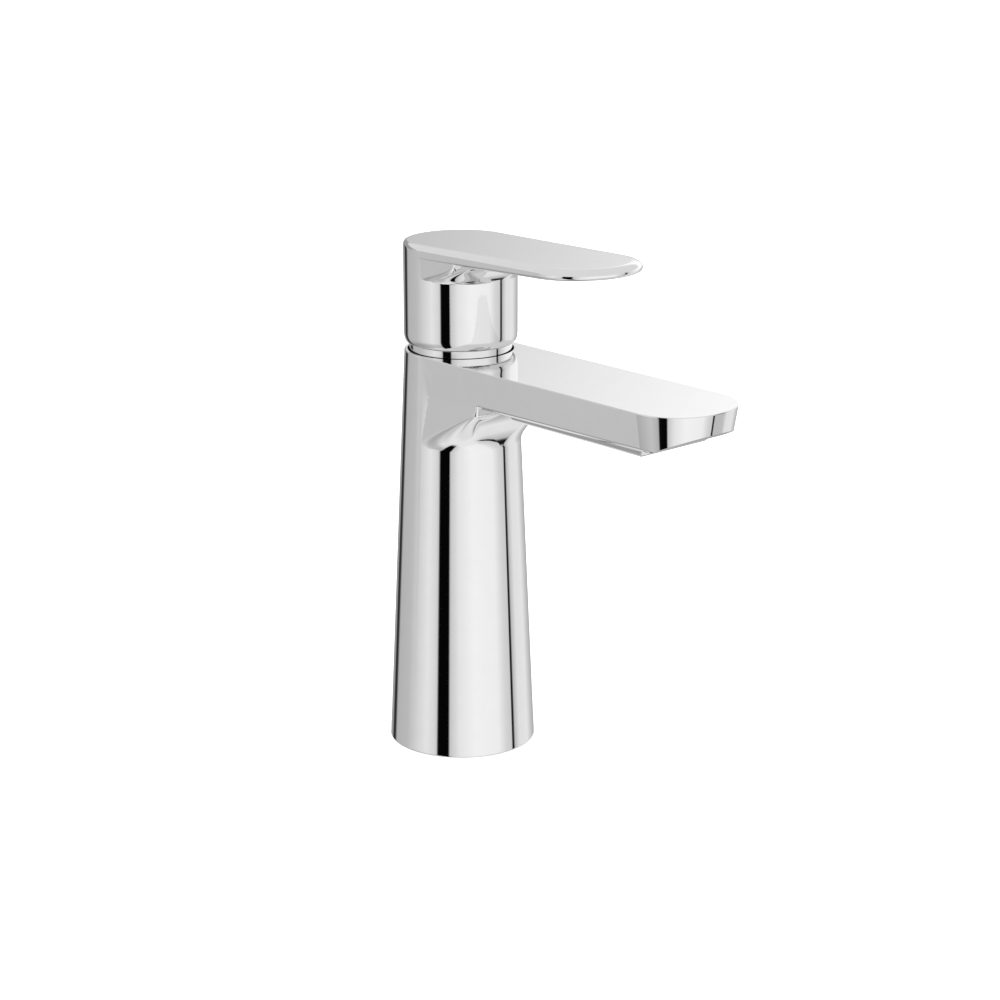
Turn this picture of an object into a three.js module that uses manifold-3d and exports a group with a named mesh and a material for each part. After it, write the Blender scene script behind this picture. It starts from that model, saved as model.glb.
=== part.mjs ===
// Single-lever basin mixer: a tapered column with a flat spout, and a round cap whose
// top runs forward as a flat lever. Millimetres, +Z up, the spout points to -Y.
// The origin is the middle of the base, on the top face of the basin or worktop.
import * as THREE from 'three';
import { mergeVertices } from 'three/addons/utils/BufferGeometryUtils.js';
import Module from 'manifold-3d';

const wasm = await Module();
wasm.setup();

// ---- Driving dimensions ----------------------------------------------------

// Smoothness of round pieces: sides on large, middling and small ones.
const SIDES_LARGE = 48;
const SIDES_MIDDLE = 24;
const SIDES_SMALL = 12;
const ARC_STEPS = 8;
const FLARE_SIDES = 14;
const FLARE_STEPS = 8;

// Clearances: between fixed pieces, and between pieces that turn or slide.
const FIT_GAP = 0.3;
const RUN_GAP = 0.3;
const OVERSHOOT = 1;

// How fast a flare turns from round to square, and how far it is sunk in the wall
const FLARE_SQUARING = 8;
const FLARE_LIMIT = 3;
const FLARE_SINK = 0.1;

// Column
const BODY_H = 153;
const BASE_R = 27.75;
const BASE_LIP_H = 5;
const BASE_LIP_W = 1.2;
const COLUMN_WALL = 3.6;
const CORE_T = 29;

// Spout: its tip has round corners, leans inwards as it goes down, and is cut off from
// below by a face that rises towards the front
const SPOUT_REACH = 132;
const TIP_CORNER_R = 19;
const TIP_DRAFT = 2;
const TIP_UNDERCUT = 15.4;
const TIP_CUT_ANGLE = 24;
const DRAFT_START = 34;
const SPOUT_SIDE_H = 12.8;
const EDGE_CHAMFER = 1.1;
const ROOT_FILLET_R = 21.5;
const SPOUT_ROOF = 3.5;
const WATERWAY_INSET = 4.9;

// Plate that closes the waterway from below
const PLATE_T = 2.7;
const PLATE_INSET = 0.8;
const PLATE_SEAT_W = 2.3;
const PLATE_FRONT_INSET = 4;
const PLATE_START = 46;

// Aerator, screwed into a boss on the plate
const AERATOR_SETBACK = 19.6;
const AERATOR_R = 11.8;
const AERATOR_WALL = 1.8;
const AERATOR_H = 8.2;
const AERATOR_LIP = 0.6;
const AERATOR_BOSS_WALL = 2.1;
const AERATOR_BOSS_GAP = 0.6;
const AERATOR_SEAL_T = 1.8;
const AERATOR_SEAT_T = 1.2;
const AERATOR_SEAT_W = 1;
const SCREEN_T = 0.8;
const SCREEN_RECESS = 0.8;
const SCREEN_HOLE_R = 1.7;
const SCREEN_HOLE_RING_R = 5.8;
const SCREEN_HOLES = 6;
const INSERT_WALL = 1.4;
const INSERT_TOP_T = 1.6;
const INSERT_SLOT_INNER_R = 2.4;
const INSERT_SLOT_OUTER_R = 5.2;
const INSERT_BRIDGE_W = 2;

// Base gasket in a groove, and the fixing kit below the worktop
const GASKET_INSET = 2.55;
const GASKET_W = 3;
const GASKET_T = 1.6;
const DECK_T = 30;
const STUD_R = 3.9;
const STUD_LIP_GAP = 4.1;
const STUD_ENGAGE = 20;
const STUD_TAIL = 16;
const STUD_BOSS_R = 6.6;
const STUD_BOSS_Z = 8;
const STUD_WEB_T = 3;
const HORSESHOE_R = 24;
const HORSESHOE_SLOT_R = 7;
const HORSESHOE_GASKET_T = 3;
const HORSESHOE_T = 2.5;
const FIXING_NUT_AF = 13;
const FIXING_NUT_H = 6.5;

// Supply inlets in the core of the column
const INLET_X = 8;
const INLET_Y = 0.5;
const INLET_R = 4.7;
const INLET_DEPTH = 14;
const PASSAGE_R = 2.3;

// Well in the top of the body, which the handle's neck dips into
const WELL_GAP = 0.7;
const WELL_WALL = 1.2;
const WELL_DEPTH = 6.4;

// Cartridge
const PORT_RING_R = 6.8;
const PORT_ANGLE = 60;
const PORT_R = 2.3;
const PORT_SEAL_W = 1.4;
const PORT_SEAL_T = 1.4;
const CARTRIDGE_BASE_T = 2;
const SHOULDER_T = 2.4;
const SHOULDER_W = 2.2;
const HOUSING_R = 12;
const HOUSING_WALL = 1.3;
const HOUSING_TOP_LIP_T = 3.4;
const NUT_WALL = 2.4;
const NUT_H = 5.2;
const NUT_SLOT_W = 3;
const NUT_SLOT_DEPTH = 1.6;
const FIXED_DISC_T = 2.6;
const MOVING_DISC_R = 7.4;
const MOVING_DISC_T = 2.2;
const MIXING_POCKET_R = 4.6;
const MIXING_POCKET_T = 1.2;
const CARRIER_T = 3.4;
const CARRIER_SOCKET_R = 2.3;
const GUIDE_FLANGE_T = 2.6;
const GUIDE_NECK_R = 8.6;
const GUIDE_TOP_ABOVE_PIVOT = 4;
const STOP_RING_T = 1.6;
const STOP_RING_W = 2.4;
const STOP_TAB_H = 3.4;
const STOP_ARC = 220;
const STOP_LUG_W = 4;

// Ducts that take mixed water from the seat to the spout
const DUCT_H = 5;
const DUCT_ROOF = 3;
const DUCT_HALF_W = 5.5;
const RISER_T = 2.8;
const RISER_WALL = 1.5;
const LINK_ROOF = 1.6;

// Lever mechanism
const PIVOT_ABOVE_BODY = 9.5;
const PIVOT_PIN_R = 1.4;
const PIVOT_PIN_INSET = 1;
const STEM_ARM = 17;
const STEM_ARM_R = 1.8;
const STEM_HALF_T = 2.4;
const STEM_EYE_R = 3.6;
const STEM_EYE_PLAY = 2.4;
const STEM_NECK = 2;
const STEM_SQUARE = 6.4;
const STEM_TOP = 17.5;
const LIFT_MAX = 17;

// Handle
const CAP_R = 21.2;
const CAP_CHAMFER = 3;
const NECK_STEP = 2;
const NECK_SHOW = 2.7;
const NECK_DIP = 0.5;
const HANDLE_WALL = 1.2;
const HANDLE_H = 41.1;
const HANDLE_ROOF = 9;
const LEVER_REACH = 86;
const LEVER_RISE = 1.1;
const LEVER_ROOT_T = 4.3;
const LEVER_TIP_T = 2.4;
const LEVER_EDGE_DROP = 1.3;
const LEVER_EDGE_INSET = 2.4;
const LEVER_FILLET_R = 9;
const SOCKET_BOSS_R = 8.8;
const SOCKET_BOSS_ABOVE_PIVOT = 8.4;
const ADAPTER_SQUARE = 9.4;
const ADAPTER_H = 9;
const GRUB_R = 2.4;
const GRUB_L = 6.4;
const GRUB_HEX_AF = 2.5;
const GRUB_HEX_DEPTH = 2.5;
const GRUB_ABOVE_PIVOT = 13.5;
const PLUG_R = 3.2;
const PLUG_HEAD = 0.5;
const PLUG_L = 4.4;
const PLUG_SEAT_GAP = 2;

// ---- Values that follow from them ------------------------------------------

const RAD = Math.PI / 180;
const NECK_R = CAP_R - NECK_STEP;
const WELL_R = NECK_R + WELL_GAP;
const COLUMN_TOP_R = WELL_R + WELL_WALL;
const GASKET_INNER_R = BASE_R - GASKET_INSET - GASKET_W;
const BASE_LIP_R = GASKET_INNER_R - BASE_LIP_W;
const STUD_Y = BASE_LIP_R - STUD_LIP_GAP - STUD_R;
const AERATOR_BOSS_R = AERATOR_R + FIT_GAP + AERATOR_BOSS_WALL;
const WATERWAY_HALF_W = AERATOR_BOSS_R + AERATOR_BOSS_GAP;
const PLATE_HALF_W = WATERWAY_HALF_W + PLATE_SEAT_W;
const SPOUT_HALF_W = PLATE_HALF_W + PLATE_INSET + EDGE_CHAMFER + TIP_DRAFT;
const TIP_CUT_START = SPOUT_REACH - TIP_UNDERCUT;
const AERATOR_REACH = TIP_CUT_START - AERATOR_SETBACK;
const WATERWAY_START = COLUMN_TOP_R + WATERWAY_INSET;
const SPOUT_FACE_Z = BODY_H - SPOUT_SIDE_H - EDGE_CHAMFER;
const PLATE_Z = SPOUT_FACE_Z - PLATE_T;
const WELL_Z = BODY_H - WELL_DEPTH;
const PIVOT_Z = BODY_H + PIVOT_ABOVE_BODY;

// Heights inside the cartridge, from the seat upwards
const STEM_TIP_Z = PIVOT_Z - STEM_ARM;
const CARRIER_Z = STEM_TIP_Z - CARRIER_T / 2;
const MOVING_DISC_Z = CARRIER_Z - MOVING_DISC_T;
const FIXED_DISC_Z = MOVING_DISC_Z - FIXED_DISC_T;
const SEAT_Z = FIXED_DISC_Z - CARTRIDGE_BASE_T;
const SHOULDER_Z = FIXED_DISC_Z + SHOULDER_T;
const CORE_Z = SEAT_Z - CORE_T;
const CARTRIDGE_R = HOUSING_R + SHOULDER_W;
const NUT_R = HOUSING_R + FIT_GAP + NUT_WALL;
const NUT_BORE_R = NUT_R + FIT_GAP;
const CARTRIDGE_BORE_R = CARTRIDGE_R + FIT_GAP;
const HOUSING_BORE_R = HOUSING_R - HOUSING_WALL;
const GUIDE_FLANGE_Z = CARRIER_Z + CARRIER_T + RUN_GAP;
const GUIDE_FLANGE_TOP = GUIDE_FLANGE_Z + GUIDE_FLANGE_T;
const HOUSING_LIP_Z = GUIDE_FLANGE_TOP + RUN_GAP;
const HOUSING_TOP = HOUSING_LIP_Z + HOUSING_TOP_LIP_T;
const HOUSING_LIP_R = GUIDE_NECK_R + RUN_GAP;
const GUIDE_TOP = PIVOT_Z + GUIDE_TOP_ABOVE_PIVOT;

// The stem leans back at rest by half the lift, so its tip swings evenly about the axis.
const STEM_LEAN = LIFT_MAX / 2;
const STEM_TIP_Y = STEM_ARM * Math.tan(STEM_LEAN * RAD);

// Places of the ducts that take mixed water from the seat to the spout
const RISER_INNER_Y = NUT_BORE_R + RISER_WALL;
const RISER_OUTER_Y = RISER_INNER_Y + RISER_T;
const DUCT_TOP = SEAT_Z - DUCT_ROOF;
const WATERWAY_LINK_TOP = WELL_Z - LINK_ROOF;

// ---- Shape helpers -----------------------------------------------------------

// Signed volume of a triangle mesh: negative when its faces point inwards.
function signedVolume(vertices, triangles) {
  let sum = 0;
  const a = new THREE.Vector3();
  const b = new THREE.Vector3();
  const c = new THREE.Vector3();
  for (let i = 0; i < triangles.length; i += 3) {
    a.fromArray(vertices, triangles[i] * 3);
    b.fromArray(vertices, triangles[i + 1] * 3);
    c.fromArray(vertices, triangles[i + 2] * 3);
    sum += a.dot(b.cross(c));
  }
  return sum / 6;
}

// Turns a closed geometry into a solid for cutting and joining.
function solid(geometry) {
  geometry.deleteAttribute('normal');
  geometry.deleteAttribute('uv');
  const merged = mergeVertices(geometry, 1e-4);
  const vertProperties = new Float32Array(merged.attributes.position.array);
  const corners = merged.index.array;
  const triVerts = new Uint32Array(corners.length);
  const inward = signedVolume(vertProperties, corners) < 0;
  let count = 0;
  for (let i = 0; i < corners.length; i += 3) {
    const [a, b, c] = [corners[i], corners[i + 1], corners[i + 2]];
    if (a === b || b === c || c === a) {
      continue;
    }
    triVerts.set(inward ? [a, c, b] : [a, b, c], count);
    count += 3;
  }
  return new wasm.Manifold(new wasm.Mesh({
    numProp: 3,
    vertProperties,
    triVerts: triVerts.slice(0, count),
  }));
}

// A turned piece: [radius, height] points round its section, turned about Z.
function turned(section, sides) {
  const points = section.map(([r, z]) => new THREE.Vector2(r, z));
  const closesOnAxis = section[0][0] === 0 && section.at(-1)[0] === 0;
  if (!closesOnAxis) {
    points.push(points[0].clone());
  }
  const geometry = new THREE.LatheGeometry(points, sides);
  geometry.rotateX(Math.PI / 2);
  return solid(geometry);
}

function rod(radius, z0, z1, { x = 0, y = 0, sides = SIDES_MIDDLE } = {}) {
  const geometry = new THREE.CylinderGeometry(radius, radius, z1 - z0, sides);
  geometry.rotateX(Math.PI / 2);
  geometry.translate(x, y, (z0 + z1) / 2);
  return solid(geometry);
}

function ring(innerR, outerR, z0, z1, sides = SIDES_MIDDLE) {
  return turned([[innerR, z0], [outerR, z0], [outerR, z1], [innerR, z1]], sides);
}

// A round bar between two points.
function bar(radius, from, to, sides = SIDES_SMALL) {
  const start = new THREE.Vector3(...from);
  const end = new THREE.Vector3(...to);
  const along = end.clone().sub(start);
  const geometry = new THREE.CylinderGeometry(radius, radius, along.length(), sides);
  const turn = new THREE.Quaternion().setFromUnitVectors(
    new THREE.Vector3(0, 1, 0), along.clone().normalize());
  geometry.applyQuaternion(turn);
  geometry.translate(...start.add(end).multiplyScalar(0.5).toArray());
  return solid(geometry);
}

function block([x0, y0, z0], [x1, y1, z1]) {
  const geometry = new THREE.BoxGeometry(x1 - x0, y1 - y0, z1 - z0);
  geometry.translate((x0 + x1) / 2, (y0 + y1) / 2, (z0 + z1) / 2);
  return solid(geometry);
}

// A wedge of a round bar, from one angle to another, anticlockwise from +X.
function sector(radius, fromDegrees, toDegrees, z0, z1) {
  const shape = new THREE.Shape();
  shape.moveTo(0, 0);
  shape.absarc(0, 0, radius, fromDegrees * RAD, toDegrees * RAD, false);
  const geometry = new THREE.ExtrudeGeometry(shape, {
    depth: z1 - z0,
    bevelEnabled: false,
    curveSegments: SIDES_SMALL,
  });
  geometry.translate(0, 0, z0);
  return solid(geometry);
}

// A closed skin through rings of points that run the same way round, capped at both ends.
function loft(outlines) {
  const firstFlat = outlines[0].map(([x, y]) => new THREE.Vector2(x, y));
  const clockwise = THREE.ShapeUtils.isClockWise(firstFlat);
  const rings = clockwise ? outlines.map((outline) => outline.slice().reverse()) : outlines;
  const count = rings[0].length;
  const positions = rings.flat(2);
  const index = [];
  for (let level = 0; level + 1 < rings.length; level += 1) {
    for (let i = 0; i < count; i += 1) {
      const a = level * count + i;
      const b = level * count + (i + 1) % count;
      index.push(a, b, b + count, a, b + count, a + count);
    }
  }
  const caps = [[rings[0], 0, true], [rings.at(-1), (rings.length - 1) * count, false]];
  for (const [outline, first, flip] of caps) {
    const flat = outline.map(([x, y]) => new THREE.Vector2(x, y));
    for (const [a, b, c] of THREE.ShapeUtils.triangulateShape(flat, [])) {
      index.push(first + a, first + (flip ? c : b), first + (flip ? b : c));
    }
  }
  const geometry = new THREE.BufferGeometry();
  geometry.setAttribute('position', new THREE.Float32BufferAttribute(positions, 3));
  geometry.setIndex(index);
  return solid(geometry);
}

function toGeometry(manifold) {
  const mesh = manifold.getMesh();
  const geometry = new THREE.BufferGeometry();
  geometry.setAttribute('position', new THREE.BufferAttribute(mesh.vertProperties, 3));
  geometry.setIndex(new THREE.BufferAttribute(mesh.triVerts, 1));
  geometry.computeVertexNormals();
  return geometry;
}

// ---- Materials ---------------------------------------------------------------

const MATERIALS = {
  chrome: { color: '#d9dbdd', roughness: 0.05, metalness: 1 },
  brass: { color: '#c2a15c', roughness: 0.35, metalness: 1 },
  steel: { color: '#a9abad', roughness: 0.35, metalness: 1 },
  rubber: { color: '#1c1c1c', roughness: 0.85, metalness: 0 },
  ceramic: { color: '#e8e4da', roughness: 0.3, metalness: 0 },
  whitePlastic: { color: '#eeeeec', roughness: 0.5, metalness: 0 },
  greyPlastic: { color: '#8b8f93', roughness: 0.5, metalness: 0 },
  indexPlastic: { color: '#b02a30', roughness: 0.35, metalness: 0 },
};

function piece(name, manifold, finish, { at = [0, 0, 0] } = {}) {
  const material = new THREE.MeshStandardMaterial(MATERIALS[finish]);
  const mesh = new THREE.Mesh(toGeometry(manifold), material);
  mesh.name = name;
  mesh.position.set(...at);
  return mesh;
}

// ---- Body ----------------------------------------------------------------------

function columnRadius(z) {
  return THREE.MathUtils.lerp(BASE_R, COLUMN_TOP_R, z / BODY_H);
}

// The spout's outline: straight sides and a tip with large round corners.
function spoutOutline(z, sideInset, tipInset) {
  const sideX = SPOUT_HALF_W - sideInset;
  const cornerX = SPOUT_HALF_W - TIP_CORNER_R;
  const cornerY = SPOUT_REACH - TIP_CORNER_R;
  const radius = TIP_CORNER_R - tipInset;
  const half = [[sideX, 0, z], [sideX, -DRAFT_START, z]];
  for (let i = 0; i <= ARC_STEPS; i += 1) {
    const angle = (i / ARC_STEPS) * Math.PI / 2;
    half.push([cornerX + radius * Math.cos(angle), -cornerY - radius * Math.sin(angle), z]);
  }
  return [...half, ...half.map(([x, y]) => [-x, y, z]).reverse()];
}

// Wedge below the rising face that cuts off the tip.
function tipCut() {
  const rise = Math.tan(TIP_CUT_ANGLE * RAD);
  const farY = SPOUT_REACH + 2 * OVERSHOOT;
  const w = SPOUT_HALF_W + OVERSHOOT;
  const level = (startY) => {
    const z = SPOUT_FACE_Z + (startY - TIP_CUT_START) * rise;
    return [[-w, -farY, z], [w, -farY, z], [w, -startY, z], [-w, -startY, z]];
  };
  return loft([level(TIP_CUT_START - 2 * OVERSHOOT), level(SPOUT_REACH + OVERSHOOT)]);
}

function spoutSolid() {
  return loft([
    spoutOutline(SPOUT_FACE_Z, EDGE_CHAMFER, TIP_DRAFT + EDGE_CHAMFER),
    spoutOutline(SPOUT_FACE_Z + EDGE_CHAMFER, 0, TIP_DRAFT),
    spoutOutline(BODY_H, 0, 0),
  ]).subtract(tipCut());
}

// Outline of a flare's front half: round like the wall at first, square like the slab above
// it at last, with the given half width and reach forward.
function flareOutline(halfW, reach, squareness, z) {
  const outline = [];
  const power = 2 / squareness;
  for (let i = 0; i <= 2 * FLARE_SIDES; i += 1) {
    const angle = (i / (2 * FLARE_SIDES)) * Math.PI;
    const across = Math.cos(angle);
    outline.push([
      halfW * Math.sign(across) * Math.abs(across) ** power,
      -reach * Math.sin(angle) ** power,
      z,
    ]);
  }
  return outline;
}

// Fillet that flares from a round wall out to a flat underside at height z, and stops at
// the furthest reach forward.
function flare({ wallR, slabHalfW, radius, z, overlap, furthest = Infinity }) {
  const outlines = [];
  for (let i = 0; i <= FLARE_STEPS; i += 1) {
    const angle = (i / FLARE_STEPS) * Math.PI / 2;
    const rise = radius * Math.sin(angle);
    const squareness = 2 + FLARE_SQUARING * Math.min(Math.tan(angle), FLARE_LIMIT) ** 2;
    const halfW = THREE.MathUtils.lerp(wallR, slabHalfW, rise / radius);
    const outline = flareOutline(
      halfW, wallR + radius * (1 - Math.cos(angle)), squareness, z - radius + rise);
    outlines.push(outline.map(([x, y, height]) => [x, Math.max(y, -furthest), height]));
  }
  const top = outlines.at(-1).map(([x, y]) => [x, y, z + overlap]);
  return loft([...outlines, top]);
}

// The root is flush with the spout's sides near the column, and with its underside further
// out, where the lower edges are chamfered.
function spoutRoot() {
  const shape = {
    wallR: columnRadius(SPOUT_FACE_Z - ROOT_FILLET_R) - FLARE_SINK,
    radius: ROOT_FILLET_R,
    z: SPOUT_FACE_Z,
  };
  const sides = flare({
    ...shape,
    slabHalfW: SPOUT_HALF_W,
    overlap: EDGE_CHAMFER,
    furthest: columnRadius(SPOUT_FACE_Z) + ROOT_FILLET_R / 2,
  });
  const under = flare({
    ...shape,
    slabHalfW: SPOUT_HALF_W - EDGE_CHAMFER,
    overlap: EDGE_CHAMFER / 2,
  });
  return sides.add(under);
}

function columnSolid() {
  return turned([[0, 0], [BASE_R, 0], [COLUMN_TOP_R, BODY_H], [0, BODY_H]], SIDES_LARGE);
}

// Hollow inside the column: a lip at the base, then thin walls up to the core.
function columnHollow() {
  const widestZ = BASE_LIP_H + 2;
  return turned([
    [0, -OVERSHOOT],
    [BASE_LIP_R, -OVERSHOOT],
    [BASE_LIP_R, BASE_LIP_H],
    [columnRadius(widestZ) - COLUMN_WALL, widestZ],
    [columnRadius(CORE_Z) - COLUMN_WALL, CORE_Z],
    [0, CORE_Z],
  ], SIDES_LARGE);
}

// Boss for the fixing stud, tied to the rear wall by a web.
function studBoss() {
  const boss = rod(STUD_BOSS_R, STUD_BOSS_Z, CORE_Z + OVERSHOOT, { y: STUD_Y });
  const webEnd = columnRadius(CORE_Z) - COLUMN_WALL / 2;
  const web = block(
    [-STUD_WEB_T / 2, STUD_Y, STUD_BOSS_Z + STUD_ENGAGE],
    [STUD_WEB_T / 2, webEnd, CORE_Z + OVERSHOOT]);
  const hole = rod(STUD_R + FIT_GAP, 0, STUD_BOSS_Z + STUD_ENGAGE, {
    y: STUD_Y,
    sides: SIDES_SMALL,
  });
  return boss.add(web).subtract(hole);
}

function portPlaces() {
  const across = PORT_RING_R * Math.sin(PORT_ANGLE * RAD);
  const back = PORT_RING_R * Math.cos(PORT_ANGLE * RAD);
  return { hot: [-across, back], cold: [across, back], outlet: [0, -PORT_RING_R] };
}

// Sockets for the two supplies and their passages up to the cartridge seat.
function inletPassages() {
  const ports = portPlaces();
  const top = CORE_Z + INLET_DEPTH;
  const sides = [[-INLET_X, ports.hot], [INLET_X, ports.cold]];
  const cuts = sides.map(([x, port]) => {
    const socket = rod(INLET_R, CORE_Z - OVERSHOOT, top, { x, y: INLET_Y });
    const passage = bar(
      PASSAGE_R, [x, INLET_Y, top - OVERSHOOT], [...port, SEAT_Z + OVERSHOOT / 4]);
    return socket.add(passage);
  });
  return cuts[0].add(cuts[1]);
}

// Mixed water goes down through the seat, forward, up in front of the cartridge and out.
function outletPassages() {
  const [, outletY] = portPlaces().outlet;
  const drop = rod(PASSAGE_R, DUCT_TOP - DUCT_H / 2, SEAT_Z + OVERSHOOT, {
    y: outletY,
    sides: SIDES_SMALL,
  });
  const frontLow = [-DUCT_HALF_W, -RISER_OUTER_Y, DUCT_TOP - DUCT_H];
  const duct = block(frontLow, [DUCT_HALF_W, outletY + PASSAGE_R, DUCT_TOP]);
  const riser = block(frontLow, [DUCT_HALF_W, -RISER_INNER_Y, WATERWAY_LINK_TOP]);
  const link = block(
    [-DUCT_HALF_W, -WATERWAY_START - OVERSHOOT, SPOUT_FACE_Z + EDGE_CHAMFER],
    [DUCT_HALF_W, -RISER_INNER_Y, WATERWAY_LINK_TOP]);
  return drop.add(duct).add(riser).add(link);
}

// Channel in the spout, open below until the plate closes it.
function spoutChannel() {
  const openFrom = PLATE_START + PLATE_SEAT_W;
  const roof = BODY_H - SPOUT_ROOF;
  const rear = block(
    [-WATERWAY_HALF_W, -openFrom, SPOUT_FACE_Z + EDGE_CHAMFER],
    [WATERWAY_HALF_W, -WATERWAY_START, roof]);
  const open = block(
    [-WATERWAY_HALF_W, -AERATOR_REACH, PLATE_Z - OVERSHOOT],
    [WATERWAY_HALF_W, -openFrom, roof]);
  const roundEnd = rod(WATERWAY_HALF_W, PLATE_Z - OVERSHOOT, roof, { y: -AERATOR_REACH });
  return rear.add(open).add(roundEnd);
}

function cartridgeChamber() {
  return turned([
    [0, SEAT_Z],
    [CARTRIDGE_BORE_R, SEAT_Z],
    [CARTRIDGE_BORE_R, SHOULDER_Z],
    [NUT_BORE_R, SHOULDER_Z],
    [NUT_BORE_R, WELL_Z],
    [WELL_R, WELL_Z],
    [WELL_R, BODY_H + OVERSHOOT],
    [0, BODY_H + OVERSHOOT],
  ], SIDES_LARGE);
}

function bodyCasting() {
  const grooveR = GASKET_INNER_R + GASKET_W;
  const groove = ring(GASKET_INNER_R, grooveR, -OVERSHOOT, GASKET_T, SIDES_LARGE);
  return columnSolid()
    .add(spoutSolid())
    .add(spoutRoot())
    .subtract(columnHollow())
    .add(studBoss())
    .subtract(cartridgeChamber())
    .subtract(inletPassages())
    .subtract(outletPassages())
    .subtract(spoutChannel())
    .subtract(groove);
}

// Plate brazed under the spout, with the threaded boss that takes the aerator.
function spoutUnderplate() {
  const frontY = TIP_CUT_START - PLATE_FRONT_INSET;
  const boreR = AERATOR_R + FIT_GAP;
  const mouthR = boreR - AERATOR_WALL - AERATOR_SEAT_W;
  const sealTop = PLATE_Z + AERATOR_H - AERATOR_LIP + AERATOR_SEAL_T;
  const bossTop = sealTop + AERATOR_SEAT_T;
  const place = { y: -AERATOR_REACH };
  const plate = block(
    [-PLATE_HALF_W, -frontY, PLATE_Z], [PLATE_HALF_W, -PLATE_START, SPOUT_FACE_Z]);
  return plate
    .add(rod(AERATOR_BOSS_R, PLATE_Z, bossTop, place))
    .subtract(rod(boreR, PLATE_Z - OVERSHOOT, sealTop, place))
    .subtract(rod(mouthR, sealTop - OVERSHOOT, bossTop + OVERSHOOT, place));
}

function baseGasket() {
  const innerR = GASKET_INNER_R + FIT_GAP;
  return ring(innerR, innerR + GASKET_W - 2 * FIT_GAP, 0, GASKET_T - FIT_GAP, SIDES_LARGE);
}

function bodyGroup() {
  const group = new THREE.Group();
  group.add(
    piece('body_casting', bodyCasting(), 'chrome'),
    piece('spout_underplate', spoutUnderplate(), 'chrome'),
    piece('base_gasket', baseGasket(), 'rubber'),
  );
  return group;
}

// ---- Aerator: heights from its lower face ----------------------------------------

function aeratorHousing() {
  const innerR = AERATOR_R - AERATOR_WALL;
  const ledge = SCREEN_RECESS + SCREEN_T;
  return turned([
    [innerR + FIT_GAP, 0],
    [AERATOR_R - EDGE_CHAMFER / 2, 0],
    [AERATOR_R, EDGE_CHAMFER / 2],
    [AERATOR_R, AERATOR_H],
    [innerR, AERATOR_H],
    [innerR, ledge + FIT_GAP],
    [innerR + FIT_GAP, ledge],
  ], SIDES_MIDDLE);
}

function aeratorScreen() {
  const top = SCREEN_RECESS + SCREEN_T;
  const hole = (x, y) => rod(SCREEN_HOLE_R, 0, top + OVERSHOOT, { x, y, sides: SIDES_SMALL });
  let screen = rod(AERATOR_R - AERATOR_WALL - FIT_GAP, SCREEN_RECESS, top);
  for (let i = 0; i < SCREEN_HOLES; i += 1) {
    const angle = (i / SCREEN_HOLES) * 2 * Math.PI;
    screen = screen.subtract(
      hole(SCREEN_HOLE_RING_R * Math.cos(angle), SCREEN_HOLE_RING_R * Math.sin(angle)));
  }
  return screen.subtract(hole(0, 0));
}

// Flow insert: a cup whose top has a ring slot, crossed by a bridge.
function aeratorInsert() {
  const radius = AERATOR_R - AERATOR_WALL - FIT_GAP;
  const bottom = SCREEN_RECESS + SCREEN_T;
  const room = rod(radius - INSERT_WALL, bottom - OVERSHOOT, AERATOR_H - INSERT_TOP_T);
  const slot = ring(
    INSERT_SLOT_INNER_R, INSERT_SLOT_OUTER_R, AERATOR_H - 2 * INSERT_TOP_T, AERATOR_H + OVERSHOOT);
  const bridge = block(
    [-INSERT_BRIDGE_W / 2, -radius, 0],
    [INSERT_BRIDGE_W / 2, radius, AERATOR_H + 2 * OVERSHOOT]);
  return rod(radius, bottom, AERATOR_H).subtract(room).subtract(slot.subtract(bridge));
}

function aeratorSeal() {
  const innerR = AERATOR_R - AERATOR_WALL - AERATOR_SEAT_W;
  return ring(innerR, AERATOR_R - FIT_GAP, AERATOR_H, AERATOR_H + AERATOR_SEAL_T);
}

function aeratorGroup() {
  const group = new THREE.Group();
  group.position.set(0, -AERATOR_REACH, PLATE_Z - AERATOR_LIP);
  group.add(
    piece('aerator_housing', aeratorHousing(), 'chrome'),
    piece('aerator_screen', aeratorScreen(), 'greyPlastic'),
    piece('aerator_insert', aeratorInsert(), 'whitePlastic'),
    piece('aerator_seal', aeratorSeal(), 'rubber'),
  );
  return group;
}

// ---- Fixing kit under the worktop ------------------------------------------------

function horseshoe(z0, z1) {
  const [low, high] = [z0 - OVERSHOOT, z1 + OVERSHOOT];
  const disc = rod(HORSESHOE_R, z0, z1, { sides: SIDES_LARGE / 2 });
  const slotEnd = rod(HORSESHOE_SLOT_R, low, high);
  const slot = block(
    [-HORSESHOE_SLOT_R, -HORSESHOE_R - OVERSHOOT, low], [HORSESHOE_SLOT_R, 0, high]);
  const studHole = rod(STUD_R + FIT_GAP, low, high, { y: STUD_Y, sides: SIDES_SMALL });
  return disc.subtract(slotEnd).subtract(slot).subtract(studHole);
}

function fixingNut(z0, z1) {
  const cornerR = FIXING_NUT_AF / 2 / Math.cos(30 * RAD);
  return rod(cornerR, z0, z1, { y: STUD_Y, sides: 6 }).subtract(
    rod(STUD_R + FIT_GAP, z0 - OVERSHOOT, z1 + OVERSHOOT, { y: STUD_Y, sides: SIDES_SMALL }));
}

function fixingGroup() {
  const group = new THREE.Group();
  const gasketZ = -DECK_T - HORSESHOE_GASKET_T;
  const washerZ = gasketZ - HORSESHOE_T;
  const nutZ = washerZ - FIXING_NUT_H;
  group.add(
    piece('mounting_stud', rod(STUD_R, nutZ - STUD_TAIL, STUD_BOSS_Z + STUD_ENGAGE - FIT_GAP, {
      y: STUD_Y,
      sides: SIDES_SMALL,
    }), 'steel'),
    piece('horseshoe_gasket', horseshoe(gasketZ, -DECK_T), 'rubber'),
    piece('horseshoe_washer', horseshoe(washerZ, gasketZ), 'steel'),
    piece('mounting_nut', fixingNut(nutZ, washerZ), 'brass'),
  );
  return group;
}

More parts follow.
